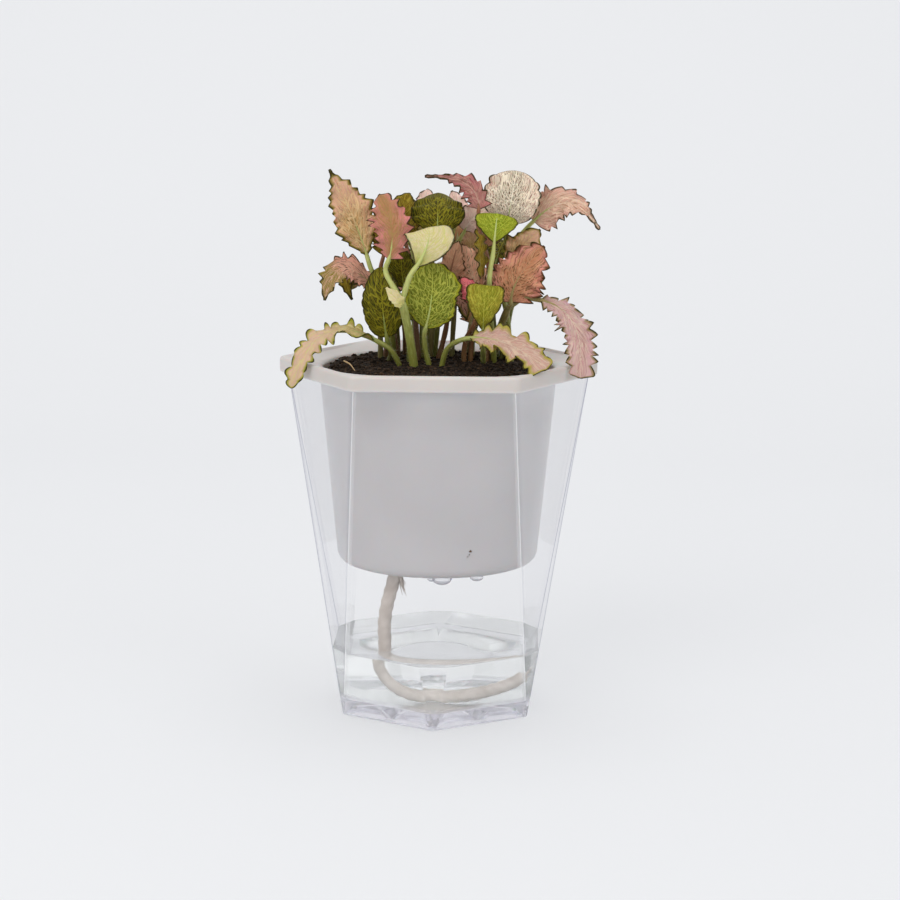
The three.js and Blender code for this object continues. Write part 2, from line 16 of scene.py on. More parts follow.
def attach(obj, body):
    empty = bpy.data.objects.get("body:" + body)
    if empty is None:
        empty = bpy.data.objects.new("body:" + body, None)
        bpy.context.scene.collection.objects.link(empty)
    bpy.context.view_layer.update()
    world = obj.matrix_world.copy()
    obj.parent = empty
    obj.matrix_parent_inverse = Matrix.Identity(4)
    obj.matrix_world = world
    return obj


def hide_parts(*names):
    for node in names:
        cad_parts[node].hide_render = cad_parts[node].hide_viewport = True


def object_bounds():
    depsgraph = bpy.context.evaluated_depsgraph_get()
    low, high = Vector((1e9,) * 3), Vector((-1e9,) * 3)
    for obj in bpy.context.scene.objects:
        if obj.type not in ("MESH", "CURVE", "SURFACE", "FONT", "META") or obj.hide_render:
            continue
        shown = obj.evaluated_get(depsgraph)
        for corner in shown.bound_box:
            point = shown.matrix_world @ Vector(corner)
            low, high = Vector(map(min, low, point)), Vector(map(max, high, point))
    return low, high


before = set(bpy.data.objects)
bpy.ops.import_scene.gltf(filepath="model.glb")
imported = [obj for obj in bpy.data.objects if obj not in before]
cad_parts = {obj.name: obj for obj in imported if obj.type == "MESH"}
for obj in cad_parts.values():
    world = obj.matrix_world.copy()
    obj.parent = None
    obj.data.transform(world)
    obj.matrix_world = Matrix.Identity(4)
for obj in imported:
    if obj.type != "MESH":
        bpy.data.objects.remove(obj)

CAD_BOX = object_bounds()
MM = 0.001
size = CAD_BOX[1] - CAD_BOX[0]
print("nodes:", len(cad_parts), "size in mm:", [round(v / MM, 1) for v in size])

# %% [markdown]
# ## Camera
# The photograph was taken from a little above the rim, almost straight in front, with a long lens,
# so the pot hardly tapers by perspective. A camera can be aimed with angles or with a frame of
# three directions. The directions are used here, because they were solved from the rim, the foot
# and the waterline all at once, and they go into the camera's matrix with no rounding of angles.

# %% Camera
EYE = Vector((23.44, -776.98, 229.56)) * MM
FORWARD = Vector((-0.0242, 0.9847, -0.1728)).normalized()
UPWARD = Vector((-0.011, 0.1726, 0.9849))
LENS, SENSOR = 88.0, 36.0

camera = bpy.data.objects.new("camera", bpy.data.cameras.new("camera"))
bpy.context.scene.collection.objects.link(camera)
camera.data.lens, camera.data.sensor_width = LENS, SENSOR
right = FORWARD.cross(UPWARD).normalized()
level = right.cross(FORWARD)
turned = Matrix((right, level, -FORWARD)).transposed().to_4x4()
camera.matrix_world = Matrix.Translation(EYE) @ turned
bpy.context.scene.camera = camera
print("camera height in mm:", round(camera.location.z / MM, 1), "lens:", camera.data.lens)

# %% [markdown]
# ## Helpers for surfaces
# Nearly every piece here is a grid of points bent into shape: rings round an axis, or rows along a
# leaf. Blender's own primitives would need many edits to reach these forms. Whole arrays worked out
# with numpy are quicker to change, and every shape stays a formula that can be read.

# %% Helpers for numbers and grids
def unit(vectors):
    """Each vector divided by its own length."""
    return vectors / np.maximum(np.linalg.norm(vectors, axis=-1, keepdims=True), 1e-12)


def smooth(low, high, x):
    """0 below low, 1 above high, and 3t^2 - 2t^3 between, with t the way from low to high."""
    t = np.clip((x - low) / (high - low), 0.0, 1.0)
    return t * t * (3.0 - 2.0 * t)


def quads(rows, columns, wrap):
    """Corner numbers of the quads of a grid. With wrap the last column joins the first."""
    across = columns if wrap else columns - 1
    i, j = np.meshgrid(np.arange(rows - 1), np.arange(across), indexing="ij")
    k = (j + 1) % columns
    low, high = i * columns, (i + 1) * columns
    return np.stack([low + j, low + k, high + k, high + j], -1).reshape(-1, 4)


def fan(ring, centre, flip):
    """Triangles from a centre to each side of a ring."""
    after = np.roll(ring, -1)
    hub = np.full_like(ring, centre)
    return np.stack([hub, after, ring] if flip else [hub, ring, after], -1)


print("a quarter of the way along, a smooth step stands at", smooth(0, 1, 0.25))

# %% Helpers that turn arrays of points into meshes
def make_piece(name, points, faces, materials, numbers=None, layers=None):
    """A mesh object at the origin from points in mm and blocks of faces, ridden on the root body.

    Numbers give each face its material. A layer of two values a point becomes a UV map, and one
    of three a vector on each point."""
    mesh = bpy.data.meshes.new(name)
    corners = [face for block in faces for face in block.tolist()]
    mesh.from_pydata((np.asarray(points) * MM).tolist(), [], corners)
    for material in materials:
        mesh.materials.append(material)
    if numbers is not None:
        mesh.polygons.foreach_set("material_index", np.asarray(numbers, np.int32))
    mesh.polygons.foreach_set("use_smooth", np.full(len(mesh.polygons), True))
    for layer, values in (layers or {}).items():
        if values.shape[1] == 2:
            corner = np.zeros(len(mesh.loops), np.int32)
            mesh.loops.foreach_get("vertex_index", corner)
            uv = mesh.uv_layers.new(name=layer)
            uv.data.foreach_set("uv", values[corner].astype(np.float32).ravel())
        else:
            attribute = mesh.attributes.new(layer, "FLOAT_VECTOR", "POINT")
            attribute.data.foreach_set("vector", values.astype(np.float32).ravel())
    mesh.validate()
    piece = bpy.data.objects.new(name, mesh)
    bpy.context.scene.collection.objects.link(piece)
    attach(piece, "root")
    return piece


def shell(rings):
    """Points and face blocks of closed rings with a pole at each end."""
    count, columns = rings.shape[:2]
    points = np.concatenate([rings.reshape(-1, 3), rings[:1].mean(1), rings[-1:].mean(1)])
    return points, [quads(count, columns, True), fan(np.arange(columns), count * columns, True),
                    fan(np.arange(columns) + (count - 1) * columns, count * columns + 1, False)]


def closed_shell(name, rings, materials, layers=None):
    """Rings of points, from the pole under the piece, up its outside, down its inside to a pole."""
    points, faces = shell(rings)
    return make_piece(name, points, faces, materials, None, layers)


def merged(parts):
    """Points and face blocks of several closed shapes as those of one mesh: the corner numbers of
    each part go up by the count of the points before it."""
    faces, start = [], 0
    for points, blocks in parts:
        faces += [block + start for block in blocks]
        start += len(points)
    return np.concatenate([points for points, blocks in parts]), faces


print("a closed tube of 9 rings of 6 points has", len(shell(np.zeros((9, 6, 3)))[0]), "points")

# %% Helpers for lines and tubes
def run_of(line):
    """Length run from the first point of a line to each of its points."""
    return np.concatenate([[0], np.cumsum(np.linalg.norm(np.diff(line, axis=0), axis=1))])


def path_points(knots, count):
    """Points evenly spaced along a smooth curve through the knots, and the curve's length.

    Between two knots the curve is a cubic whose slope at each knot is the chord between its
    neighbours, weighted by the square roots of the distances to them (centripetal Catmull-Rom)."""
    p = np.asarray(knots, float)
    p = np.concatenate([[2 * p[0] - p[1]], p, [2 * p[-1] - p[-2]]])
    gap = np.maximum(np.linalg.norm(np.diff(p, axis=0), axis=1) ** 0.5, 1e-4)[:, None]
    d0, d1, d2 = gap[:-2], gap[1:-1], gap[2:]
    a, b, c, d = p[:-3], p[1:-2], p[2:-1], p[3:]
    m1 = ((b - a) / d0 - (c - a) / (d0 + d1) + (c - b) / d1) * d1
    m2 = ((c - b) / d1 - (d - b) / (d1 + d2) + (d - c) / d2) * d1
    t = np.linspace(0, 1, 17)[:-1, None, None]
    t2, t3 = t**2, t**3
    curve = (2 * t3 - 3 * t2 + 1) * b + (t3 - 2 * t2 + t) * m1
    curve = curve + (-2 * t3 + 3 * t2) * c + (t3 - t2) * m2
    curve = np.concatenate([curve.transpose(1, 0, 2).reshape(-1, 3), p[-2:-1]])
    length = run_of(curve)
    where = np.linspace(0, length[-1], count)
    return np.stack([np.interp(where, length, curve[:, k]) for k in range(3)], -1), length[-1]


def tube_rings(line, radius, sides, lobes=0.0, count=3, turn=0.0):
    """Rings of a tube round a line, and the length run at each. A ring lies square to the line, in
    a frame turned against one fixed direction. The radius swells and sinks by the share lobes,
    count times round, and that pattern turns by turn radians per mm: it lays a cord's strands."""
    along = unit(np.gradient(line, axis=0))
    reference = np.eye(3)[np.argmin(np.abs(along).max(0))]
    side = unit(np.cross(along, reference))
    up = np.cross(side, along)
    angle = np.linspace(0, 2 * np.pi, sides, endpoint=False)
    reach = run_of(line)
    swell = 1 + lobes * (np.abs(np.cos(0.5 * count * (angle + turn * reach[:, None]))) - 0.6)
    r = np.broadcast_to(np.asarray(radius, float).reshape(-1, 1), (len(line), 1)) * swell
    ring = np.cos(angle)[:, None] * side[:, None] + np.sin(angle)[:, None] * up[:, None]
    return line[:, None] + r[..., None] * ring, reach


corner_line, corner_run = path_points([(0, 0, 0), (10, 0, 0), (10, 10, 0)], 5)
print("a smooth curve round a corner of 10 and 10 mm runs", round(corner_run, 1), "mm")

# %% [markdown]
# ## Helpers for finishes
# A finish is a small graph of nodes that ends in one shader. Building it by hand in the editor
# works, but the same few steps return in every leaf. The helper class below adds one node per call
# and hands back its output, so that a finish reads like a formula.

# %% Helper that builds a finish from nodes
class Finish:
    """A node material. Each method adds a node and returns its output."""

    def __init__(self, name, **sockets):
        self.material = bpy.data.materials.new(name)
        self.material.use_nodes = True
        self.nodes = self.material.node_tree.nodes
        self.links = self.material.node_tree.links
        self.shader = self.nodes["Principled BSDF"]
        self.output = self.nodes["Material Output"]
        for socket, value in sockets.items():
            self.shader.inputs[socket.replace("_", " ")].default_value = value

    def node(self, kind, inputs=(), **settings):
        made = self.nodes.new(kind)
        for key, value in settings.items():
            setattr(made, key, value)
        for socket, value in dict(inputs).items():
            if isinstance(value, bpy.types.NodeSocket):
                self.links.new(value, made.inputs[socket])
            elif value is not None:
                made.inputs[socket].default_value = value
        return made

    def math(self, operation, a, b=None, c=None, clamp=False):
        inputs = {0: a, 1: b, 2: c}
        return self.node("ShaderNodeMath", inputs, operation=operation, use_clamp=clamp).outputs[0]

    def between(self, value, low, high, start=0.0, end=1.0):
        """Start below low, end above high, and a smooth step between."""
        inputs = {"Value": value, "From Min": low, "From Max": high, "To Min": start, "To Max": end}
        return self.node("ShaderNodeMapRange", inputs, interpolation_type="SMOOTHSTEP").outputs[0]

    def mix(self, share, a, b):
        """Colour a where share is 0 and b where it is 1."""
        return self.node("ShaderNodeMix", {0: share, 6: a, 7: b}, data_type="RGBA").outputs[2]

    def blend(self, share, a, b):
        """Shader a where share is 0 and b where it is 1."""
        return self.node("ShaderNodeMixShader", {0: share, 1: a, 2: b}).outputs[0]

    def noise(self, scale, detail=2.0, vector=None, roughness=0.5):
        vector = vector or self.node("ShaderNodeTexCoord").outputs["Object"]
        inputs = {"Vector": vector, "Scale": scale, "Detail": detail, "Roughness": roughness}
        return self.node("ShaderNodeTexNoise", inputs).outputs["Fac"]

    def cells(self, vector, scale, feature="DISTANCE_TO_EDGE", randomness=1.0):
        inputs = {"Vector": vector, "Scale": scale, "Randomness": randomness}
        return self.node("ShaderNodeTexVoronoi", inputs, feature=feature).outputs["Distance"]

    def parts(self, vector):
        """The three numbers of a vector."""
        return self.node("ShaderNodeSeparateXYZ", {0: vector}).outputs

    def height(self):
        """Height above the floor in metres."""
        return self.parts(self.node("ShaderNodeTexCoord").outputs["Object"])[2]

    def layer(self, name):
        """A vector that the piece carries on its points."""
        return self.node("ShaderNodeAttribute", attribute_name=name).outputs["Vector"]

    def stretched(self, uv_map, scale):
        """Place on a UV map, with each direction scaled."""
        place = self.node("ShaderNodeUVMap", uv_map=uv_map).outputs[0]
        return self.node("ShaderNodeMapping", {"Vector": place, "Scale": scale}).outputs[0]

    def bump(self, height, strength, distance):
        inputs = {"Height": height, "Strength": strength, "Distance": distance}
        made = self.node("ShaderNodeBump", inputs)
        self.links.new(made.outputs[0], self.shader.inputs["Normal"])

    def colour(self, output):
        self.links.new(output, self.shader.inputs["Base Color"])

    def rough(self, output):
        self.links.new(output, self.shader.inputs["Roughness"])


def tint(red, green, blue):
    """A colour from 0 to 255 per channel, as seen on a screen, turned to linear light."""
    c = np.array([red, green, blue]) / 255
    linear = np.where(c <= 0.04045, c / 12.92, ((c + 0.055) / 1.055) ** 2.4)
    return tuple(linear.tolist()) + (1.0,)


print("middle grey on a screen is", round(tint(128, 128, 128)[0], 3), "in linear light")

# %% [markdown]
# ## Wick
# A cotton cord hangs from the soil through the liner's floor, bends at the foot of the reservoir
# and lies along its floor under water, with a frayed end. A curve with a round bevel would be a
# smooth hose, so the tube's section is given three strands that turn round the route, and short
# loose fibres stand out of its end. It comes first, because the cord's own measure is checked.
# It comes first, and its length is printed.

# %% Wick
WICK_ROUTE = [
    (-14.0, -16.2, 62), (-14.1, -16.3, 58), (-14.3, -16.4, 54.5), (-14.6, -16.5, 51),
    (-15.6, -16.7, 46.5), (-16.8, -17, 42), (-17.8, -17.2, 37), (-18.2, -17.4, 32),
    (-18, -17.6, 27.5), (-18, -17.8, 23.7), (-18, -18, 20), (-16.4, -18.2, 16.4),
    (-13.6, -18.3, 13.4), (-10, -18.2, 11.2), (-5.6, -18, 9.9), (-0.5, -18, 9.4), (5, -17.8, 9.4),
    (10.5, -17.4, 9.7), (16, -17, 10.3), (21.5, -16.6, 11.4), (26.6, -16.2, 13), (30.4, -15.6, 15),
]
WICK_DIAMETER, WICK_SIDES = 4.7, 24
END_LENGTH, END_TAPER = 1.2, 0.35


def cotton_finish(name, light, dark):
    """Fibres run with the strands: thin streaks along the cord, darker where it is wet and deep."""
    f = Finish(name, Roughness=0.9, Sheen_Weight=0.3)
    streak = f.noise(60.0, 3.0, f.stretched("lay", (6.0, 0.7, 1.0)))
    patch = f.noise(180.0, 2.0)
    share = f.between(f.math("ADD", streak, f.math("MULTIPLY", patch, 0.6)), 0.55, 1.05)
    f.colour(f.mix(share, dark, light))
    f.bump(streak, 0.5, 0.0004)
    return f.material


cotton = cotton_finish("wet_cotton", tint(224, 215, 208), tint(182, 171, 162))
line, wick_length = path_points(WICK_ROUTE, 150)
rings, reach = tube_rings(line, WICK_DIAMETER / 2 * 0.98, WICK_SIDES, lobes=0.14, turn=0.55)
end = np.clip((reach - reach[-1] + END_LENGTH) / END_LENGTH, 0, 1)
rings = line[:, None] + (rings - line[:, None]) * (1 - END_TAPER * end**2)[:, None, None]
around = np.arange(WICK_SIDES)[None] / WICK_SIDES
lay = np.stack(np.broadcast_arrays(around, reach[:, None] / 10), -1).reshape(-1, 2)
lay = np.concatenate([lay, lay[:1], lay[-1:]])
wick = closed_shell("wick_cord", rings, [cotton], layers={"lay": lay})
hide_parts("wick")
print("wick rings:", len(rings), "faces:", len(wick.data.polygons))

# %% Loose fibres, and the cord as one
SAG, FIBRE, FIBRE_END = 0.12, 0.42, 0.05


def fray(starts, aims, thick):
    """Loose fibres: thin closed tubes from a start to an aim, each sagging a little on its way."""
    parts = []
    for start, aim in zip(starts, aims):
        middle = (start + aim) / 2 + np.array([0.0, 0.0, -SAG]) * np.linalg.norm(aim - start)
        strand = path_points([start, middle, aim], 8)[0]
        parts.append(shell(tube_rings(strand, np.linspace(thick, FIBRE_END, 8), 6)[0]))
    points, faces = merged(parts)
    along = np.linspace(0, 1, len(points) // len(parts))[:, None]
    return make_piece("wick_fray", points, faces, [cotton], None,
                      {"lay": np.tile(along, (len(parts), 2))})


# a tuft of nine fibres hangs at the liner's hole, and eight stand out of the bare end
HOLE_TUFT, END_TUFT = 9, 8
random = np.random.default_rng(5)
starts = np.array([-12.9, -17.4, 52.6]) + random.uniform(-0.7, 0.7, (HOLE_TUFT, 3))
aims = np.array([-11.0, -18.0, 45.8]) + random.uniform(-1, 1, (HOLE_TUFT, 3)) * (0.8, 0.7, 2.4)
end_starts = np.array([30.2, -15.6, 14.9]) + random.uniform(-1.3, 1.3, (END_TUFT, 3))
end_aims = end_starts + np.array([2.1, 0.2, 1.7]) + random.uniform(-0.7, 0.7, (END_TUFT, 3))
starts, aims = np.concatenate([starts, end_starts]), np.concatenate([aims, end_aims])
loose = fray(starts, aims, FIBRE)
print("wick length in mm:", round(wick_length, 1), "diameter:", WICK_DIAMETER)

# %% [markdown]
# ## Reservoir
# The vessel's mouth is a hexagon and its foot is a smaller hexagon turned by half a side, so twelve
# long triangles join them. Two polygons and a hull would do, but each crease of the real one is
# rounded, and the thin bright lines in the photograph are the light on those rounds. At any height
# the section is the foot's polygon and the mouth's added in shares, so each of its twelve corners
# is a share of a foot corner plus a share of a mouth corner. Rounding moves all sides in by the
# radius and then out again by an arc, which is a formula too.

# %% Twelve-sided section with rounded creases
ARC, FLAT = 8, 14


def twelve(foot_r, mouth_r, share, crease):
    """Ring of a section: corners (1 - share) * foot corner + share * mouth corner of two hexagons
    made smaller by the crease's radius, each with an arc of that radius from one side's normal to
    the next, 30 degrees on, and points spread evenly over the flat side after it."""
    k = np.arange(12)
    foot = np.radians(60 * (k // 2) + 30)
    mouth = np.radians(60 * ((k + 1) // 2))
    inset = crease / math.cos(math.pi / 6)
    a, b = foot_r - inset, mouth_r - inset
    corner = np.stack([(1 - share) * a * np.cos(foot) + share * b * np.cos(mouth),
                       (1 - share) * a * np.sin(foot) + share * b * np.sin(mouth)], -1)
    normal = np.radians(30 * k)[:, None] + np.radians(30) * np.linspace(0, 1, ARC)
    arc = corner[:, None] + crease * np.stack([np.cos(normal), np.sin(normal)], -1)
    t = np.linspace(0, 1, FLAT + 2)[1:-1, None]
    side = arc[:, -1:] * (1 - t) + np.roll(arc[:, :1], -1, axis=0) * t
    return np.concatenate([arc, side], 1).reshape(-1, 2)


def round_ring(radius, like):
    """A circle with its points at the same angles as another ring's."""
    angle = np.arctan2(like[:, 1], like[:, 0])
    return radius * np.stack([np.cos(angle), np.sin(angle)], -1)


def at_height(ring, z):
    """The ring's points with a height, one for all or one each."""
    return np.concatenate([ring, np.broadcast_to(np.asarray(z, float), (len(ring),))[:, None]], 1)


print("points in a section:", len(twelve(38, 54, 0.5, 1)))

# %% Rings of the reservoir
MOUTH_R, FOOT_R, TALL, WALL, CREASE = 54.2, 38.0, 124.0, 1.8, 0.9
DISC_R, DISC_TOP, FLOOR_TOP, FLOOR_UNDER, RIB_FOOT = 20.5, 6.6, 6.0, 3.8, 0.8
RIB_STEP, RIB_HALF, RIB_ROUND = 30, 0.9, 1.7


def wall_ring(z, inset):
    """Section of the wall at a height, moved in by inset."""
    share = min(max(z / TALL, 0.0), 1.0)
    return twelve(FOOT_R - inset, MOUTH_R - inset, share, max(CREASE - inset * 0.2, 0.3))


def wall_rings(rows):
    """Rings from rows of: height where the section is taken, inset, height of the ring."""
    return [at_height(wall_ring(z, inset), top) for z, inset, top in rows]


def round_rings(rows):
    """Round rings from rows of radius and height, with their points where the wall's are."""
    return [at_height(round_ring(r, wall_ring(0, 0)), z) for r, z in rows]


def recess_ring(share, z):
    """Ring under the floor between the disc and the foot's inner skirt, with twelve radial ribs:
    the ring comes down to the ribs' foot where it is nearer than a rib's half width to a spoke."""
    outer = wall_ring(2.0, WALL)
    inner = round_ring(DISC_R, outer)
    ring = inner * (1 - share) + outer * share
    angle, radius = np.arctan2(ring[:, 1], ring[:, 0]), np.linalg.norm(ring, axis=1)
    off = np.abs((np.degrees(angle) + RIB_STEP / 2) % RIB_STEP - RIB_STEP / 2)
    rib = 1 - smooth(RIB_HALF, RIB_ROUND, np.radians(off) * radius)
    return at_height(ring, z - (z - RIB_FOOT) * rib)


under = round_rings([(4, 0.0), (10, 0.0), (16, 0.0), (19.8, 0.0), (DISC_R, 0.5),
                     (DISC_R, FLOOR_UNDER - 0.5)])
under += [recess_ring(share, FLOOR_UNDER) for share in np.linspace(0.03, 0.97, 12)]
under += wall_rings([(1.5, WALL, 1.5), (0, WALL - 0.3, 0.15), (0, 1.0, 0.0), (0, 0.25, 0.1)])
outside = wall_rings([(0.5, 0.03, 0.5)])
outside += wall_rings([(z, 0.0, z) for z in (1.5, 4, 8, 16, 32, 50, 68, 86, 104, 116, 122, 123.3)])
outside += wall_rings([(TALL, 0.25, TALL - 0.15)])
inside = wall_rings([(TALL, 0.7, TALL), (TALL, 1.2, TALL), (TALL, WALL - 0.2, TALL - 0.2)])
inside += wall_rings([(z, WALL, z) for z in (123, 116, 104, 86, 68, 50, 32, 22, 14, 10, 8)])
inside += wall_rings([(7, WALL + 0.3, 7.0), (6.3, WALL + 0.9, 6.25), (6, WALL + 1.8, FLOOR_TOP)])
inside += round_rings([(DISC_R + 0.6, FLOOR_TOP), (DISC_R - 0.1, FLOOR_TOP + 0.1),
                       (DISC_R - 0.5, DISC_TOP), (16, DISC_TOP), (10, DISC_TOP), (4, DISC_TOP)])
print("rings under the floor, outside and inside:", len(under), len(outside), len(inside))

# %% [markdown]
# ## Clear plastic
# The real vessel is a wall of clear moulded plastic two millimetres thick. A glass shader on all of
# it is the usual answer, but through so many slanted walls it would bend the liner out of shape
# and throw dark shadows. So the wall is drawn as a see-through sheet with a gloss, and only the
# thick foot bends light.

# %% Clear plastic
LILAC = (0.86, 0.85, 0.93, 1)
FOOT_ENDS, WALL_STARTS = 0.0068, 0.0084


def clear_finish(name, tone, roughness, ior, shadow, share=1.0, haze=0.0, milk=LILAC):
    """Clear plastic or water. Its shader refracts, and for shadow rays it lets light straight
    through with a little loss, because refracted shadows would come out far too dark. Fine
    scratches and lime scatter a small share of the light, the haze, in the colour milk."""
    f = Finish(name, Base_Color=tone, Roughness=roughness, IOR=ior, Transmission_Weight=1.0)
    clear = f.node("ShaderNodeBsdfTransparent", {"Color": shadow}).outputs[0]
    ray = f.node("ShaderNodeLightPath").outputs["Is Shadow Ray"]
    straight = f.math("MAXIMUM", ray, 1.0 - share)
    blend = f.blend(straight, f.shader.outputs[0], clear)
    cloud = f.node("ShaderNodeBsdfDiffuse", {"Color": milk}).outputs[0]
    blend = f.blend(f.math("MULTIPLY", f.math("SUBTRACT", 1.0, ray), haze), blend, cloud)
    f.links.new(blend, f.output.inputs["Surface"])
    return f


def moulded_clear():
    """Thin clear wall above, thick clear foot below.

    A ray through the thin wall leaves it in nearly the same direction, so there the wall is a
    see-through sheet with a gloss that grows at grazing angles. On the rounded creases a mark
    raises the gloss, a painted highlight, so that they show the pale floor in front as thin bright
    lines, and where the wall stands at the outline the sheet is tinted grey violet, most on the
    creases, a painted shade. In the floor the plastic is thick and bends light, so the refracting
    shader takes over."""
    f = clear_finish("clear_plastic", (0.965, 0.96, 0.985, 1), 0.02, 1.3, (0.955, 0.955, 0.965, 1),
                     share=0.85, haze=0.09)
    foot = f.output.inputs["Surface"].links[0].from_socket
    crease = f.node("ShaderNodeAttribute", attribute_name="crease").outputs["Fac"]
    edge_on = f.node("ShaderNodeLayerWeight", {"Blend": 0.5}).outputs["Facing"]
    # painted shade: the see-through sheet turns dark grey violet at the outline, most on the
    # creases
    painted_outline_shade = f.math("MULTIPLY_ADD", crease, 0.95, 0.05)
    painted_outline_shade = f.math("MULTIPLY", f.between(edge_on, 0.42, 0.7), painted_outline_shade)
    tone = f.mix(painted_outline_shade, (0.994, 0.994, 0.995, 1), (0.18, 0.18, 0.34, 1))
    sheet = f.node("ShaderNodeBsdfTransparent", {"Color": tone}).outputs[0]
    gloss = f.node("ShaderNodeBsdfGlossy", {"Roughness": 0.06, "Color": (1, 1, 1, 1)}).outputs[0]
    fresnel = f.node("ShaderNodeFresnel", {"IOR": 1.4}).outputs[0]
    # painted highlight: on the near side's creases, in a band of slant, the mark raises the gloss
    # so that they show as thin bright lines
    aslant = f.between(edge_on, 0.42, 0.55, 1.0, 0.0)
    aslant = f.math("MULTIPLY", f.between(edge_on, 0.18, 0.25), aslant)
    near_side = f.math("SUBTRACT", 1.0, f.node("ShaderNodeNewGeometry").outputs["Backfacing"])
    bright = f.math("MULTIPLY", crease, f.math("MULTIPLY", near_side, 0.85))
    bright = f.math("MULTIPLY", bright, aslant)
    sheen = f.math("MULTIPLY", fresnel, f.math("MULTIPLY_ADD", crease, -0.22, 0.22))
    seen = f.math("SUBTRACT", 1.0, f.node("ShaderNodeLightPath").outputs["Is Shadow Ray"])
    wall = f.blend(f.math("MULTIPLY", f.math("MAXIMUM", sheen, bright), seen), sheet, gloss)
    above_foot = f.between(f.height(), FOOT_ENDS, WALL_STARTS)
    f.links.new(f.blend(above_foot, foot, wall), f.output.inputs["Surface"])
    f.bump(f.noise(28.0, 2.0), 0.08, 0.004)
    f.rough(f.between(f.noise(90.0, 3.0), 0.35, 0.8, 0.015, 0.05))
    return f.material


plastic = moulded_clear()
print("nodes in the clear plastic:", len(plastic.node_tree.nodes))

# %% Vessel with its creases marked for the painted highlight and shade
# the mark of the painted highlight and painted outline shade is strongest in the middle of each arc
arc_share = np.sin(np.pi * np.linspace(0.06, 0.94, ARC)) ** 0.7
# on the two creases that meet at the front foot corner the painted highlight and shade are cut to
# about a fifth
crease_paint_share = np.where(np.isin(np.arange(12), (8, 9)), 0.22, 1.0)
around = (crease_paint_share[:, None] * np.concatenate([arc_share, np.zeros(FLAT)])).ravel()
marked = np.repeat([0.0, 1.0, 0.0], [len(under), len(outside), len(inside)])
crease = np.repeat((marked[:, None] * around).reshape(-1, 1), 3, 1)
crease = np.concatenate([crease, np.zeros((2, 3))])
vessel = closed_shell("reservoir_shell", np.array(under + outside + inside), [plastic],
                      layers={"crease": crease})
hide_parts("reservoir")
print("reservoir rings:", len(marked), "faces:", len(vessel.data.polygons))

# %% [markdown]
# ## Water
# The water fills the foot of the reservoir and goes round the raised disc. Its surface climbs a
# hair's breadth up the wall, and that narrow rim is why the waterline shows as a thin line. Water
# and plastic bend light nearly alike, and the wall is drawn as a thin sheet, so the water is drawn
# out to the wall's outer face: that gives the wide bright foot that one sees in a filled vessel.

# %% Water
# the water's outline lies this far outside the wall's inner face, so its inset is negative
OVER = -1.68
WATER_LEVEL = 23.7
PALE_WATER = (0.98, 0.985, 0.985, 1)

rings = round_rings([(4, DISC_TOP + 0.05), (12, DISC_TOP + 0.05), (20, DISC_TOP + 0.05),
                     (DISC_R + 0.3, FLOOR_TOP + 0.06)])
rings += wall_rings([(6.2, WALL + 0.4, FLOOR_TOP + 0.06), (7.0, WALL - 0.6, FLOOR_TOP + 0.2)])
rings += wall_rings([(z, WALL + OVER, z) for z in (7.2, 10, 14, 18, 22, 23.4)])
MENISCUS = ((OVER, 0.0), (OVER + 0.06, 0.06), (OVER + 0.3, 0.02), (OVER + 0.8, 0.0), (1.0, 0.0))
rings += wall_rings([(WATER_LEVEL, WALL + inset, WATER_LEVEL + rise) for inset, rise in MENISCUS])
rings += round_rings([(28, WATER_LEVEL), (18, WATER_LEVEL), (8, WATER_LEVEL)])


def water_finish():
    """Still water: nearly colourless, with the faintest ripple."""
    f = clear_finish("still_water", PALE_WATER, 0.0, 1.333, (0.97, 0.97, 0.975, 1), haze=0.16,
                     milk=(0.95, 0.98, 0.96, 1))
    f.bump(f.noise(40.0, 1.0), 0.05, 0.001)
    return f.material


pool = closed_shell("water_body", np.array(rings), [water_finish()])
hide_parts("water")
litres = math.pi * FOOT_R**2 * (WATER_LEVEL - FLOOR_TOP) / 1e6
print("water level in mm:", WATER_LEVEL, "litres about:", round(litres, 2))

# %% [markdown]
# ## Liner pot
# The liner is white and lets a little light through. Its cup is round, its rim is a hexagon with
# rounded corners, and a sloping collar leads from one to the other. That change of outline is the
# hard part for a lathe tool. Here each ring is a share of a circle and a share of the rounded
# hexagon, and one closed surface runs from the foot of the cup up, out under the rim, over it and
# down inside.

# %% Rings of the liner pot
RIM_R, FILLET, RIM_TOP = 57.2, 4.0, 126.7
CORNER, SIDE = 24, 26
CUP_FLOOR, CUP_INSIDE, FOOT_RADIUS, HOLE_CIRCLE, HOLE_R = 53.5, 55.4, 36.0, 21.8, 2.6


def hexagon_ring(corner_r, fillet):
    """Hexagon with round corners: corner centres at corner_r - fillet / cos 30, arcs of 60 degrees
    and straight sides, with the points spread evenly by their own number round the outline."""
    turn = np.arange(6) * np.pi / 3
    reach = corner_r - fillet / math.cos(math.pi / 6)
    centre = reach * np.stack([np.cos(turn), np.sin(turn)], -1)
    normal = turn[:, None] + np.linspace(-np.pi / 6, np.pi / 6, CORNER)
    arc = centre[:, None] + fillet * np.stack([np.cos(normal), np.sin(normal)], -1)
    t = np.linspace(0, 1, SIDE)[1:-1, None]
    side = arc[:, -1:] * (1 - t) + np.roll(arc[:, :1], -1, axis=0) * t
    return np.concatenate([arc, side], 1).reshape(-1, 2)


def rim_rings(rows):
    """Rings of the rim from rows of inset and height."""
    return [at_height(hexagon_ring(RIM_R - inset / math.cos(math.pi / 6), FILLET - inset), z)
            for inset, z in rows]


def cup_rings(rows):
    """Round rings of the cup from rows of radius and height, with as many points as the rim."""
    return [at_height(round_ring(r, hexagon_ring(RIM_R, FILLET)), z) for r, z in rows]


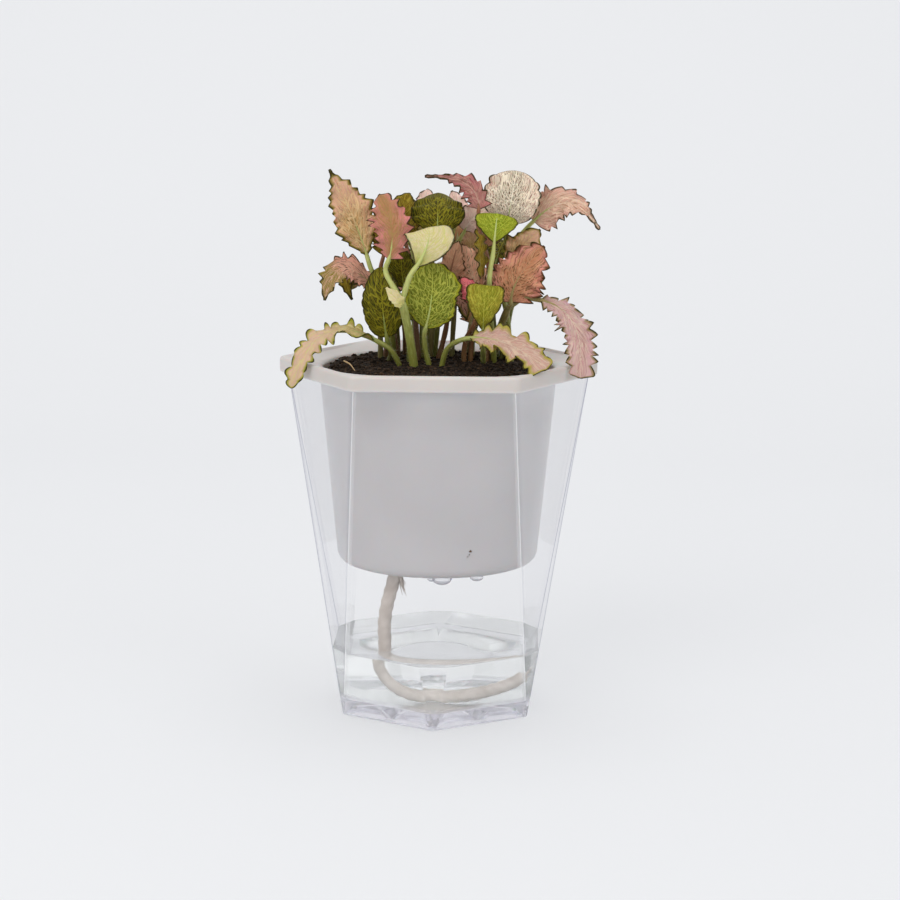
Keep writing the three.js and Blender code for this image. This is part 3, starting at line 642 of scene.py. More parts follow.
rings = cup_rings([(r, CUP_FLOOR) for r in (6, 14, 19, HOLE_CIRCLE, 24.6, 28, 31.4)])
rings += cup_rings([(32.8, 53.62), (34.3, 54.2), (35.4, 55.3), (FOOT_RADIUS, 57.0)])
rings += cup_rings([(FOOT_RADIUS + 6.3 * (z - 57) / 65, z)
                    for z in (60, 68, 78, 88, 98, 108, 116, 121)])
rings += cup_rings([(42.5, 122.0), (43.2, 122.35), (44.5, 122.6), (44.8, 123.2), (44.9, 124.2),
                    (45.3, 124.32)])
rings += rim_rings([(2.2, 124.32), (1.7, 124.1), (1.5, 123.6), (1.5, 121.6), (1.3, 121.3),
                    (0.9, 121.2), (0.4, 121.22), (0.08, 121.5), (0.0, 122.2), (0.0, 123.8),
                    (0.0, 125.2), (0.08, 125.9), (0.35, 126.4), (0.8, 126.65), (1.4, RIM_TOP)])
# the collar slopes from the rim's inner edge to the cup's mouth
brim, mouth = rim_rings([(1.4, 0)])[0][:, :2], cup_rings([(41.6, 0)])[0][:, :2]
for share in (0.06, 0.14, 0.26, 0.4, 0.55, 0.7, 0.85, 0.95):
    flat = brim * (1 - share) + mouth * share
    slope = 124.2 + (np.linalg.norm(flat, axis=1) - 41.4) * 0.2
    rings.append(at_height(flat, np.minimum(RIM_TOP - 0.3 * share, slope + 0.4 * (1 - share))))
rings += cup_rings([(41.6, 124.0), (41.2, 123.6), (41.05, 122.8)])
rings += cup_rings([(34.6 + 6.4 * (z - 58) / 64, z) for z in (118, 110, 100, 90, 80, 70, 62, 58)])
rings += cup_rings([(34.0, 56.6), (32.6, 55.6), (30.8, CUP_INSIDE)])
rings += cup_rings([(r, CUP_INSIDE) for r in (28, 24.6, HOLE_CIRCLE, 19, 14, 6)])
print("rings of the liner:", len(rings), "points in each:", len(rings[0]))

# %% [markdown]
# ## White plastic
# The liner is moulded in a warm white that lets some light through. A plain white surface looks
# like card. A little light that spreads under the surface softens its shade, and a paler tint
# under the rim, painted light, stands for the light that comes through the thin wall from inside
# and lifts the shade under the rim.

# %% White plastic
GLOW_STARTS, RIM_STARTS, RIM_FULL = 0.106, 0.1205, 0.1225


def white_plastic():
    """White moulded plastic: light sinks in and spreads, and a fine grain breaks its gloss. The
    thick rim is a little lighter and warmer than the cup. Towards the rim the cup's tint grows
    paler, by the square of a smooth step: painted light, for the light that falls inside the rim
    and shows through the thin wall, and it lifts the shade under the rim."""
    f = Finish("white_plastic", Roughness=0.32, Subsurface_Weight=0.22, Subsurface_Scale=0.004,
               IOR=1.5)
    tone = f.between(f.noise(35.0, 3.0), 0.3, 0.75)
    height = f.height()
    # painted light: the cup's tint grows paler towards the rim
    glow = f.math("POWER", f.between(height, GLOW_STARTS, RIM_FULL), 2.0)
    cup = f.mix(glow, f.mix(tone, tint(185, 182, 183), tint(190, 187, 188)), tint(222, 220, 221))
    rim = f.mix(tone, tint(195, 190, 185), tint(200, 195, 190))
    f.colour(f.mix(f.between(height, RIM_STARTS, RIM_FULL), cup, rim))
    f.rough(f.between(f.noise(220.0, 3.0), 0.3, 0.8, 0.28, 0.4))
    f.bump(f.noise(900.0, 2.0), 0.06, 0.0002)
    return f.material


white = white_plastic()
print("nodes in the white plastic:", len(white.node_tree.nodes))

# %% Liner pot with its drain holes cut
liner = closed_shell("liner_pot", np.array(rings), [white])
cutters = []
for degrees in (-131, -41, 49, 139):
    bpy.ops.mesh.primitive_cylinder_add(vertices=40, radius=HOLE_R * MM, depth=12 * MM)
    cutter = bpy.context.object
    a = math.radians(degrees)
    cutter.location = (HOLE_CIRCLE * math.cos(a) * MM, HOLE_CIRCLE * math.sin(a) * MM, 54.5 * MM)
    cutters.append(cutter)
    cut = liner.modifiers.new("hole", "BOOLEAN")
    cut.operation, cut.solver, cut.object = "DIFFERENCE", "EXACT", cutter
bpy.context.view_layer.update()
drilled = liner.evaluated_get(bpy.context.evaluated_depsgraph_get())
shaped = bpy.data.meshes.new_from_object(drilled)
liner.modifiers.clear()
liner.data = shaped
for cutter in cutters:
    bpy.data.objects.remove(cutter)
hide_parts("inner_pot")
print("liner faces:", len(liner.data.polygons))

# %% [markdown]
# ## Soil
# Potting soil is a mass of dark crumbs and fibres. A flat disc with a picture of soil looks
# painted, so the top is a field of heights made of waves of several sizes, and loose crumbs and a
# straw lie on it. Each crumb is a small rough ball with few faces.

# %% Soil
RANDOM = np.random.default_rng(11)
SOIL_R, SOIL_Z, CROWN, SUNK_EDGE = 41.0, 123.9, 1.4, 2.6


def lumps(x, y, size, seed):
    """Waves of one size: the product of two sines along turned axes, from -1 to 1."""
    a = seed * 1.7
    p = x * math.cos(a) + y * math.sin(a)
    q = y * math.cos(a) - x * math.sin(a)
    return np.sin(p / size + seed) * np.sin(q / size * 1.13 + 2 * seed)


def soil_height(x, y):
    """Height of the soil's surface: crowned in the middle, lower along the wall, and rough at
    three sizes that fade out at the wall."""
    r = np.hypot(x, y)
    crown = SOIL_Z + CROWN * (1 - (r / SOIL_R) ** 2) - SUNK_EDGE * smooth(37.6, 40.8, r)
    rough = 0.45 * lumps(x, y, 4.0, 1) + 0.3 * lumps(x, y, 1.9, 2) + 0.22 * lumps(x, y, 0.95, 3)
    return crown + rough * smooth(SOIL_R, 39, r)


def soil_ring(r, z=None):
    """Round ring of the soil at a height, or on its rough surface where no height is given."""
    angle = np.linspace(0, 2 * np.pi, 220, endpoint=False)
    x, y = r * np.cos(angle), r * np.sin(angle)
    return np.stack([x, y, soil_height(x, y) if z is None else np.full_like(x, z)], -1)


BURIED = ((8, 55.8), (22, 55.8), (30.5, 55.8), (33.4, 57), (34.2, 60), (36.6, 84), (39.0, 106),
          (40.3, 119.5))
rings = [soil_ring(r, z) for r, z in BURIED] + [soil_ring(r) for r in np.linspace(40.5, 0.7, 62)]


def soil_finish(name, dark, light, scale):
    """Damp peat: near black with brown grains, uneven in roughness."""
    f = Finish(name, Roughness=0.95, Specular_IOR_Level=0.25)
    grain = f.noise(scale, 5.0, roughness=0.7)
    speck = f.noise(scale * 2.6, 2.0)
    f.colour(f.mix(f.between(f.math("MULTIPLY", grain, speck), 0.18, 0.5), dark, light))
    f.bump(f.noise(scale * 1.5, 5.0), 0.9, 0.0007)
    return f.material


peat = soil_finish("damp_peat", tint(24, 16, 9), tint(90, 68, 48), 480.0)
ground = closed_shell("soil_mass", np.array(rings), [peat])
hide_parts("soil")
print("soil faces:", len(ground.data.polygons))

# %% Loose crumbs and grains
CRUMBS, GRAINS, STREWN_R = 1700, 170, 38.4


def ball(segments, rows):
    """Unit ball as points and faces: rows of rings between two poles."""
    lift = np.linspace(-np.pi / 2, np.pi / 2, rows + 2)[1:-1]
    turn = np.linspace(0, 2 * np.pi, segments, endpoint=False)
    wide, high = np.cos(lift)[:, None], np.sin(lift)[:, None]
    high = np.broadcast_to(high, (rows, segments))
    ring = np.stack([wide * np.cos(turn), wide * np.sin(turn), high], -1)
    points = np.concatenate([ring.reshape(-1, 3), [[0, 0, -1], [0, 0, 1]]])
    top = rows * segments
    return points, [quads(rows, segments, True), fan(np.arange(segments), top, True),
                    fan(np.arange(segments) + top - segments, top + 1, False)]


def scatter(name, shape, centres, sizes, material, squash=0.7, rough=0.3):
    """Copies of a small closed shape, each scaled, flattened and made uneven, in one mesh."""
    points, faces = shape
    n = len(centres)
    uneven = 1 + rough * RANDOM.uniform(-1, 1, (n, len(points), 1))
    spin = RANDOM.uniform(0, 2 * np.pi, n)
    c, s = np.cos(spin)[:, None], np.sin(spin)[:, None]
    stretch = np.stack([RANDOM.uniform(0.8, 1.5, n), np.ones(n), np.full(n, squash)], -1)
    body = points[None] * uneven * stretch[:, None] * np.asarray(sizes)[:, None, None]
    x, y = body[..., 0] * c - body[..., 1] * s, body[..., 0] * s + body[..., 1] * c
    body = np.stack([x, y, body[..., 2]], -1) + np.asarray(centres)[:, None]
    shift = (np.arange(n) * len(points))[:, None, None]
    blocks = [(block[None] + shift).reshape(-1, block.shape[1]) for block in faces]
    return make_piece(name, body.reshape(-1, 3), blocks, [material])


def strewn(count, reach, low, high):
    """Random places on the soil inside a radius, and random sizes, more small than large."""
    r, a = reach * np.sqrt(RANDOM.uniform(0, 1, count)), RANDOM.uniform(0, 2 * np.pi, count)
    size = low + (high - low) * RANDOM.uniform(0, 1, count) ** 2.5
    x, y = r * np.cos(a), r * np.sin(a)
    return np.stack([x, y, soil_height(x, y) + 0.25 * size], -1), size


crumbs = scatter("soil_crumbs", ball(7, 4), *strewn(CRUMBS, STREWN_R, 0.25, 0.95), peat)
light_peat = soil_finish("dry_peat", tint(56, 42, 30), tint(120, 96, 74), 500.0)
grains = scatter("soil_grains", ball(6, 3), *strewn(GRAINS, STREWN_R, 0.16, 0.45), light_peat)
stuck, sizes = ((12.5, -34.5, 63.8), (12.1, -34.6, 62.6), (11.6, -34.8, 61.9)), (0.5, 0.22, 0.18)
specks = scatter("specks_on_liner", ball(6, 3), stuck, sizes, light_peat)
print("crumbs:", CRUMBS, "grains:", GRAINS, "faces of the crumbs:", len(crumbs.data.polygons))

# %% Straw
def straw_finish():
    """Dry plant fibre: pale yellow brown, streaked."""
    f = Finish("dry_straw", Roughness=0.7)
    f.colour(f.mix(f.noise(900.0, 2.0), tint(158, 126, 84), tint(214, 184, 138)))
    return f.material


straw_line = path_points([(-32.4, -17.5, 127.4), (-30, -21.5, 126.8), (-28.0, -26, 125.2)], 12)[0]
points, faces = shell(tube_rings(straw_line, np.linspace(0.32, 0.12, 12), 6)[0])
straw = make_piece("straw_fibre", points, faces, [straw_finish()])
print("straw faces:", len(straw.data.polygons))

# %% [markdown]
# ## Leaf shape
# A nerve plant's leaf is a thin oval blade with a net of sunk veins, a toothed and crisped edge and
# a hairy stalk. A textured card is the usual short cut, but these leaves show their thickness and
# their pale undersides. Each blade here is a closed shell, bent by one formula: a midrib curve, a
# width that grows and shrinks along it, a fold on both sides, a wave that grows to the edge, small
# cushions between the side veins, and teeth of uneven length that lean to the tip.

# %% Midrib, upper face and teeth
# powers with which the half width rises from the base and falls to the tip
OVATE, ROUND, FAN = (0.6, 0.85), (0.5, 0.5), (0.95, 0.28)
# how uneven the teeth are in width and height, and where along a tooth its peak stands
TOOTH_WIDTHS, TOOTH_HEIGHTS, PEAK = (0.55, 1.45), (0.5, 1.3), 0.7


def midrib(base, mid, tip, u):
    """Points and directions on the curve of second degree from base through mid to tip."""
    base, mid, tip = (np.asarray(p, float) for p in (base, mid, tip))
    bend = 2 * mid - (base + tip) / 2
    t = np.asarray(u, float)[:, None]
    at = (1 - t) ** 2 * base + 2 * t * (1 - t) * bend + t**2 * tip
    return at, unit((1 - t) * (bend - base) + t * (tip - bend))


def facing(along, face):
    """Direction of the upper face: the given azimuth and elevation, made square to the midrib."""
    az, el = np.radians(face)
    aim = np.array([math.cos(el) * math.cos(az), math.cos(el) * math.sin(az), math.sin(el)])
    return unit(aim - (along @ aim)[:, None] * along)


def with_poles(*values):
    """Values on rings as one list, with the mean of the first and last ring added for the poles."""
    grid = np.stack(np.broadcast_arrays(*values), -1)
    return np.concatenate([grid.reshape(-1, grid.shape[-1]), grid[[0, -1]].mean(1)])


def teeth(u, count, seed, crenate):
    """Height of the teeth along one edge, and how far each bends up or down.

    The edge is cut into pieces of uneven length. On each a tooth rises from 0 at its start to its
    own height at two thirds of the way, and falls back: straight sided for a sharp edge, and as
    half a sine wave for a scalloped one."""
    random = np.random.default_rng(seed)
    ends = np.concatenate([[0], np.cumsum(random.uniform(*TOOTH_WIDTHS, count))])
    ends = ends / ends[-1]
    k = np.clip(np.searchsorted(ends, u, side="right") - 1, 0, count - 1)
    x = (u - ends[k]) / (ends[k + 1] - ends[k])
    sharp = np.where(x < PEAK, x / PEAK, (1 - x) / (1 - PEAK)) ** 1.4
    round_ = np.sin(np.pi * x) ** 0.6
    shape = crenate * round_ + (1 - crenate) * sharp
    tall, bent = random.uniform(*TOOTH_HEIGHTS, count), random.uniform(-1, 1, count)
    return shape * tall[k], shape * bent[k]


print("widest places on an oval, a round and a fan leaf:",
      [round(rise / (rise + fall), 2) for rise, fall in (OVATE, ROUND, FAN)])

# %% [markdown]
# ## One blade
# The blade's two faces are the same surface moved apart along its normals, a little more at the
# midrib than at the edge, so that light catches a real edge. Three sets of numbers stay on its
# points for the colours: a flat map in centimetres, the place on the blade, and the vein numbers.

# %% Blade
TOOTH_LENGTH, ROWS_PER_TOOTH, THINNEST = 3.1, 11, 0.45
NARROW, FEW_COLUMNS, MANY_COLUMNS = 5.5, 23, 31
TOOTH_REACH, TOOTH_CURL, CUSHION, GROOVE = 1.45, 1.3, 0.05, 0.035
MIDRIB_THICK, EDGE_THINNING = 0.26, 0.13
# a leaf's materials in order: upper face, underside, stalk, hairs
UPPER, LOWER, STALK, HAIR = 0, 1, 2, 3


def scalloped(form, ruffle):
    """Share of round teeth: all for broad leaves, most for long ones, and few for crisped ones."""
    if form in (ROUND, FAN):
        return 1.0
    return 0.85 if max(form) <= 0.5 else 0.4 * float(smooth(1.0, 1.4, ruffle))


def blade_grid(base, mid, tip, half):
    """Shares along and across a blade, and its count of teeth: one for each tooth's length of the
    midrib, with even rows and with columns that crowd towards both edges, as a sine does."""
    length = run_of(midrib(base, mid, tip, np.linspace(0, 1, 60))[0])[-1]
    count = int(max(5, round(length / TOOTH_LENGTH)))
    u = np.linspace(0, 1, ROWS_PER_TOOTH * count + 1)
    columns = MANY_COLUMNS if half > NARROW else FEW_COLUMNS
    return u, np.sin(np.linspace(-np.pi / 2, np.pi / 2, columns)), count


def half_widths(u, half, form):
    """Half width along a blade: half * u^rise * (1 - u)^fall, scaled to reach half."""
    rise, fall = form
    widest = rise / (rise + fall)
    width = half * u**rise * (1 - u) ** fall / (widest**rise * (1 - widest) ** fall)
    return np.maximum(THINNEST, width)[:, None]


def relief(out, body, number, half):
    """Cushions and groove: the size of the sine of the vein number, which is 0 on the side veins,
    and a dip along the midrib."""
    cushion = CUSHION * half * np.abs(np.sin(np.pi * number)) ** 0.8 * smooth(0, 0.2, out)
    cushion = cushion * (1 - out**4) * body
    return cushion - GROOVE * half * (1 - smooth(0.0, 0.16, out)) * body


def blade(base, mid, tip, half, face, cup, ruffle, form, tooth, veins, seed):
    """Closed shell of one blade, with the layers net, place and vein.

    A point lies at its share of the half width, folded up by the cup angle, plus a wave of eight
    half turns along the edge that grows with the square of the share, plus teeth that grow with
    its fifth power, plus the relief. The vein number grows along the midrib and falls towards the
    edge, so that the veins lean to the tip."""
    u, v, count = blade_grid(base, mid, tip, half)
    at, along = midrib(base, mid, tip, u)
    up = facing(along, face)
    side = np.cross(along, up)
    width = half_widths(u, half, form)
    U, V = u[:, None], v[None]
    out = np.abs(V)
    body = np.sqrt(np.sin(np.pi * U).clip(0))
    crenate = scalloped(form, ruffle)
    left, right = teeth(u, count, 7 * seed, crenate), teeth(u, count, 7 * seed + 1, crenate)
    jag, curl = (np.where(V > 0, a[:, None], b[:, None]) for a, b in zip(left, right))
    keep = np.minimum(1, width / 2.5)
    drift = np.sin(2 * np.pi * (2.2 * U + np.where(V > 0, 0.13, 0.61) * seed))
    reach = width * (1 + 0.1 * (1 - crenate) * body * drift) * out
    reach = reach + TOOTH_REACH * (1 - 0.45 * crenate) * tooth * keep * jag * out**5
    wave = ruffle * body * out**2 * np.sin(8 * np.pi * U + np.where(V > 0, 1.3, 0.0))
    wave = wave + TOOTH_CURL * tooth * keep * curl * out**4
    number_of, lean = veins
    number = number_of * (U - lean * out**1.25)
    fold = np.radians(cup) * (0.35 + 0.65 * out)
    height = reach * np.sin(fold) + wave + relief(out, body, number, half)
    middle = at[:, None] + side[:, None] * (np.sign(V) * reach * np.cos(fold))[..., None]
    middle = middle + up[:, None] * height[..., None]
    normal = unit(np.cross(np.gradient(middle, axis=1), np.gradient(middle, axis=0)))
    thick = (MIDRIB_THICK - EDGE_THINNING * out**2)[..., None]
    rings = np.concatenate([middle + normal * thick, (middle - normal * thick)[:, ::-1]], 1)
    run = run_of(at)[:, None] / 10
    margin = reach.max(1, keepdims=True) - reach
    told = np.broadcast_arrays(run + seed, width * V / 10, U, out, margin, number, seed * 1.0)
    both = [np.concatenate([g, g[:, ::-1]], 1) for g in told]
    points, faces = shell(rings)
    column = np.repeat([UPPER, LOWER, UPPER], [len(v), len(v) - 1, 1])
    numbers = np.concatenate([np.tile(column, len(u) - 1), column, column])
    layers = with_poles(*both[:2]), with_poles(*both[2:5]), with_poles(both[5], both[1], both[6])
    return points, faces, numbers, *layers


oval = blade((0, 0, 0), (0, 10, 2), (0, 20, 0), 6, (0, 90), 5, 0.5, OVATE, 1.0, (7, 0.4), 1)
print("an oval blade of 20 mm has", len(oval[0]), "points and", len(oval[2]), "faces")

# %% [markdown]
# ## Stalks and hairs
# Each leaf stands on a soft, hairy stalk that runs on under its midrib. A curve with a round bevel
# gives a plain pipe. Rings along the route can grow thin towards the blade and swell a little, and
# they carry the numbers that the finish reads. A hair has only four faces, because there are
# thousands of them.

# %% Stalk
STALK_ROWS, STALK_SIDES, STALK_R = 64, 10, 0.95


def stalk(start, base, mid, tip, face, via, thick, seed):
    """Tapered tube from the start points to the blade and on under its midrib, and its line.

    The radius sinks by an eighth to the blade and by three quarters more to the end, and swells
    and sinks by a twentieth. A stalk that starts at a fork takes up the stem's colour there."""
    at, along = midrib(base, mid, tip, [0, 0.1, 0.2, 0.4, 0.6, 0.8])
    up = facing(along, face)
    start = [np.asarray(p, float) for p in (*start, *via)]
    approach = at[0] - along[0] * 0.25 * np.linalg.norm(at[0] - start[-1])
    under = at[1:] - up[1:] * np.array([0.3, 0.3, 0.34, 0.34, 0.3])[:, None]
    line = path_points([*start, approach, at[0], *under], STALK_ROWS)[0]
    last = STALK_ROWS - 1
    begin = np.argmin(np.linalg.norm(line - at[0], axis=1)) / last
    share = np.linspace(0, 1, STALK_ROWS)
    taper = 1 - 0.78 * smooth(begin * 0.9, 1, share) ** 0.6
    radius = thick * (1.05 - 0.12 * smooth(0, begin, share)) * taper
    radius = radius * (1 + 0.05 * np.sin(40 * share + seed))
    rings, reach = tube_rings(line, radius, STALK_SIDES)
    around = np.linspace(0, 1, STALK_SIDES, endpoint=False)[None]
    grown = share if len(start) > len(via) + 1 else 0.65 + 0.35 * share
    layers = (with_poles(reach[:, None] / 10 + seed, around),
              with_poles(grown[:, None], around, begin),
              with_poles(share[:, None], around, seed * 1.0))
    points, faces = shell(rings)
    numbers = np.full((STALK_ROWS + 1) * STALK_SIDES, STALK)
    return (points, faces, numbers, *layers), line[: int(begin * last)], radius


print("points in a stalk:", STALK_ROWS * STALK_SIDES + 2)

# %% Hairs, and one piece from many parts
HAIR_R, HAIR_LENGTHS = 0.05, (0.5, 1.2)


def hairs(line, radius, count, seed):
    """Short fine hairs that stand off a stalk: three-sided spikes, each a closed shape."""
    random = np.random.default_rng(seed)
    along = unit(np.gradient(line, axis=0))
    i = random.integers(4, len(line), count)
    sideways = unit(np.cross(along[i], unit(random.normal(size=(count, 3)))))
    shift = along[i] * random.uniform(-0.5, 0.5, (count, 1))
    root = line[i] + sideways * radius[i][:, None] * 0.85 + shift
    aim = unit(sideways + 0.35 * along[i])
    across = np.cross(aim, along[i])
    turn = np.radians([0, 120, 240])
    foot = root[:, None] + HAIR_R * (np.cos(turn)[:, None] * across[:, None]
                                     + np.sin(turn)[:, None] * np.cross(aim, across)[:, None])
    peak = root + aim * random.uniform(*HAIR_LENGTHS, (count, 1))
    points = np.concatenate([foot, peak[:, None]], 1).reshape(-1, 3)
    sides = np.array([[0, 1, 3], [1, 2, 3], [2, 0, 3], [0, 2, 1]])
    faces = (sides[None] + 4 * np.arange(count)[:, None, None]).reshape(-1, 3)
    blank = np.zeros((len(points), 3))
    return points, [faces], np.full(len(faces), HAIR), blank[:, :2], blank, blank


def gather(name, parts, materials):
    """One piece from several closed parts: points, faces, material numbers and three layers."""
    points, faces = merged([part[:2] for part in parts])
    numbers, net, place, vein = (np.concatenate([part[k] for part in parts]) for k in (2, 3, 4, 5))
    layers = {"net": net, "place": place, "vein": vein}
    return make_piece(name, points, faces, materials, numbers, layers)


print("a hair has 4 points and 4 faces, and stands off by", HAIR_LENGTHS, "mm")

# %% [markdown]
# ## Leaf colours
# One plant mixes several strains, from green with yellow veins to rosy, tan and cream. A picture
# of a leaf wrapped on the blade would fix one leaf's stains on all. Instead the finish works out
# the veins from the leaf's own layers: distance to the midrib, the number of the nearest side vein,
# and the edges of two Voronoi nets, a coarse one and a fine one. Stains come from noise in space,
# so that no two leaves are alike.

# %% Veins
def vein_mask(f, width, weave, mesh):
    """Share of vein at a point, how far inside a cell it lies, and its place on the blade.

    The largest of four: the midrib, where the distance across is under a width that shrinks to the
    tip; the side veins, where the vein number is near a whole number; and two nets of cell edges
    in a plane of vein number and distance across, so that the cells line up with the side veins."""
    u, out, margin = f.parts(f.layer("place"))
    number, across, seed = f.parts(f.layer("vein"))
    net = f.node("ShaderNodeUVMap", uv_map="net").outputs[0]
    wobble = f.math("SUBTRACT", f.noise(5.0, 2.0, net), 0.5)
    rib = f.math("MULTIPLY", f.between(u, 0.0, 1.0, 0.055, 0.018), width)
    middle = f.between(f.math("DIVIDE", f.math("ABSOLUTE", across), rib), 0.5, 1.0, 1.0, 0.0)
    bent = f.math("MULTIPLY_ADD", wobble, 0.45, number)
    off = f.math("ABSOLUTE", f.math("SUBTRACT", f.math("FRACT", bent), 0.5))
    thin = f.math("SUBTRACT", 0.5, f.math("MULTIPLY", f.between(out, 0.1, 1.0, 0.12, 0.07), width))
    side = f.between(off, thin, 0.495)
    aside = f.math("MULTIPLY_ADD", wobble, 0.8, f.math("MULTIPLY", across, mesh))
    ahead = f.math("MULTIPLY", bent, 2.3)
    spot = f.node("ShaderNodeCombineXYZ", {0: ahead, 1: aside, 2: seed}).outputs[0]
    coarse = f.between(f.cells(spot, 0.9), 0.05 * width, 0.2 * width, 1.0, 0.0)
    fine = f.between(f.cells(spot, 2.1), 0.05, 0.24, 1.0, 0.0)
    nets = f.math("MAXIMUM", f.math("MULTIPLY", coarse, 0.85), f.math("MULTIPLY", fine, weave))
    veins = f.math("MAXIMUM", f.math("MAXIMUM", middle, f.math("MULTIPLY", side, 0.95)), nets)
    from_vein = f.math("MINIMUM", f.cells(spot, 0.9), f.math("SUBTRACT", 0.55, off))
    inner = f.between(from_vein, 0.06, 0.2)
    return veins, inner, u, out, margin, spot


print("materials before the leaves:", len(bpy.data.materials))

# %% Leaf finish
RIM = tint(52, 48, 16)


def leaf_finish(name, tints, amount, width, fade, band=None, tip=None, turn=(0.62, 0.82),
                spread=(0.25, 1.0), dots=None, weave=0.3, mesh=6.0, deep=1.9, back=False):
    """Lamina from near the midrib to the edge, flecks of stain along the veins, veins over it, a
    dark thin rim, and for some leaves a lighter band inside the rim or another colour at the tip.

    The tints are those near the midrib, near the edge, of the veins and of the stain."""
    f = Finish(name, Roughness=0.5, Subsurface_Weight=0.1, Subsurface_Scale=0.001,
               Specular_IOR_Level=0.1)
    near, edge, vein, stain = (tint(*colour) for colour in tints)
    veins, inner, u, out, margin, spot = vein_mask(f, width, weave, mesh)
    cloud = f.noise(80.0, 3.0)
    lifted = f.math("MULTIPLY_ADD", f.math("SUBTRACT", cloud, 0.5), 1.3, out)
    lamina = f.mix(f.between(lifted, *spread), near, edge)
    fleck = f.noise(1.7, 3.0, spot, 0.6)
    patch = f.math("MULTIPLY_ADD", f.math("SUBTRACT", f.noise(150.0, 2.0), 0.5), 0.5, fleck)
    if dots:
        stains = f.between(f.cells(spot, dots, "F1"), 0.32, 0.5, 1.0, 0.0)
        strength = f.between(patch, 0.36, 0.5, 0.15, 0.4 + 0.45 * amount)
    else:
        stains = f.between(patch, 0.64 - 0.2 * amount, 0.72 - 0.14 * amount)
        stains = f.math("MULTIPLY", stains, 0.35 + 0.6 * amount)
        strength = f.math("MULTIPLY_ADD", inner, amount, 1.0 - amount)
    lamina = f.mix(f.math("MULTIPLY", stains, strength), lamina, stain)
    if tip:
        lamina = f.mix(f.between(f.math("MULTIPLY_ADD", fleck, 0.3, u), *turn), lamina, tint(*tip))
    shown = f.math("MULTIPLY", veins, f.between(out, 0.55, 1.0, 1.0, 1.0 - fade))
    colour = f.mix(shown, lamina, vein)
    uneven = f.math("MULTIPLY_ADD", f.math("SUBTRACT", fleck, 0.5), 0.9, margin)
    if band:
        colour = f.mix(f.between(uneven, 0.7, deep, 0.9, 0.0), colour, tint(*band))
    f.colour(f.mix(f.between(uneven, 0.3, 0.85, 0.95, 0.0), colour, RIM))
    f.rough(f.between(cloud, 0.3, 0.7, 0.45, 0.62))
    height = veins if back else f.math("SUBTRACT", 1.0, veins)
    f.bump(f.math("MULTIPLY_ADD", f.noise(900.0, 2.0), 0.35, height), 0.55, 0.00035)
    return f.material


print("a leaf's dark rim in linear light:", [round(c, 3) for c in RIM[:3]])

# %% Stalk finish and hair finish
def stalk_finish(name, low, high):
    """Stalk: streaked along its length, low colour at the soil and high colour at the blade."""
    f = Finish(name, Roughness=0.5, Subsurface_Weight=0.15, Subsurface_Scale=0.001)
    u = f.parts(f.layer("place"))[0]
    streak = f.noise(5.0, 3.0, f.stretched("net", (0.6, 3.0, 1.0)))
    share = f.math("ADD", u, f.math("MULTIPLY", f.math("SUBTRACT", streak, 0.5), 1.1))
    f.colour(f.mix(f.between(share, 0.1, 0.95), tint(*low), tint(*high)))
    f.bump(streak, 0.3, 0.0003)
    return f.material


def hair_finish():
    """Fine hairs: pale, a little uneven."""
    f = Finish("pale_hairs", Roughness=0.6, Sheen_Weight=0.2)
    f.colour(f.mix(f.noise(300.0), tint(206, 200, 160), tint(226, 214, 186)))
    return f.material


STALKS = {
    "light": stalk_finish("pale_green_stalk", (126, 128, 52), (184, 190, 112)),
    "deep": stalk_finish("deep_green_stalk", (96, 98, 36), (140, 146, 66)),
    "red": stalk_finish("red_brown_stalk", (112, 80, 46), (152, 100, 70)),
    "brown": stalk_finish("olive_brown_stalk", (112, 104, 54), (154, 138, 84)),
}
HAIRS = hair_finish()
print("stalk finishes:", len(STALKS))

# %% [markdown]
# ## Strains
# From leaf to leaf the colours differ, as on plants of several strains set in one pot. A material
# made by hand for each would be long, and the small steps would drift apart. A table of colours is
# read by the one leaf finish instead. It gives every strain its upper face and a duller underside,
# and a second table adds what only some have: a band inside the rim, dots, or a tip of its own.
# A few rows are paler copies of a strain, painted light for leaves that stand in the shade of
# others.

# %% Colours of the strains
LIME, OLIVE = (150, 150, 34), (124, 112, 26)
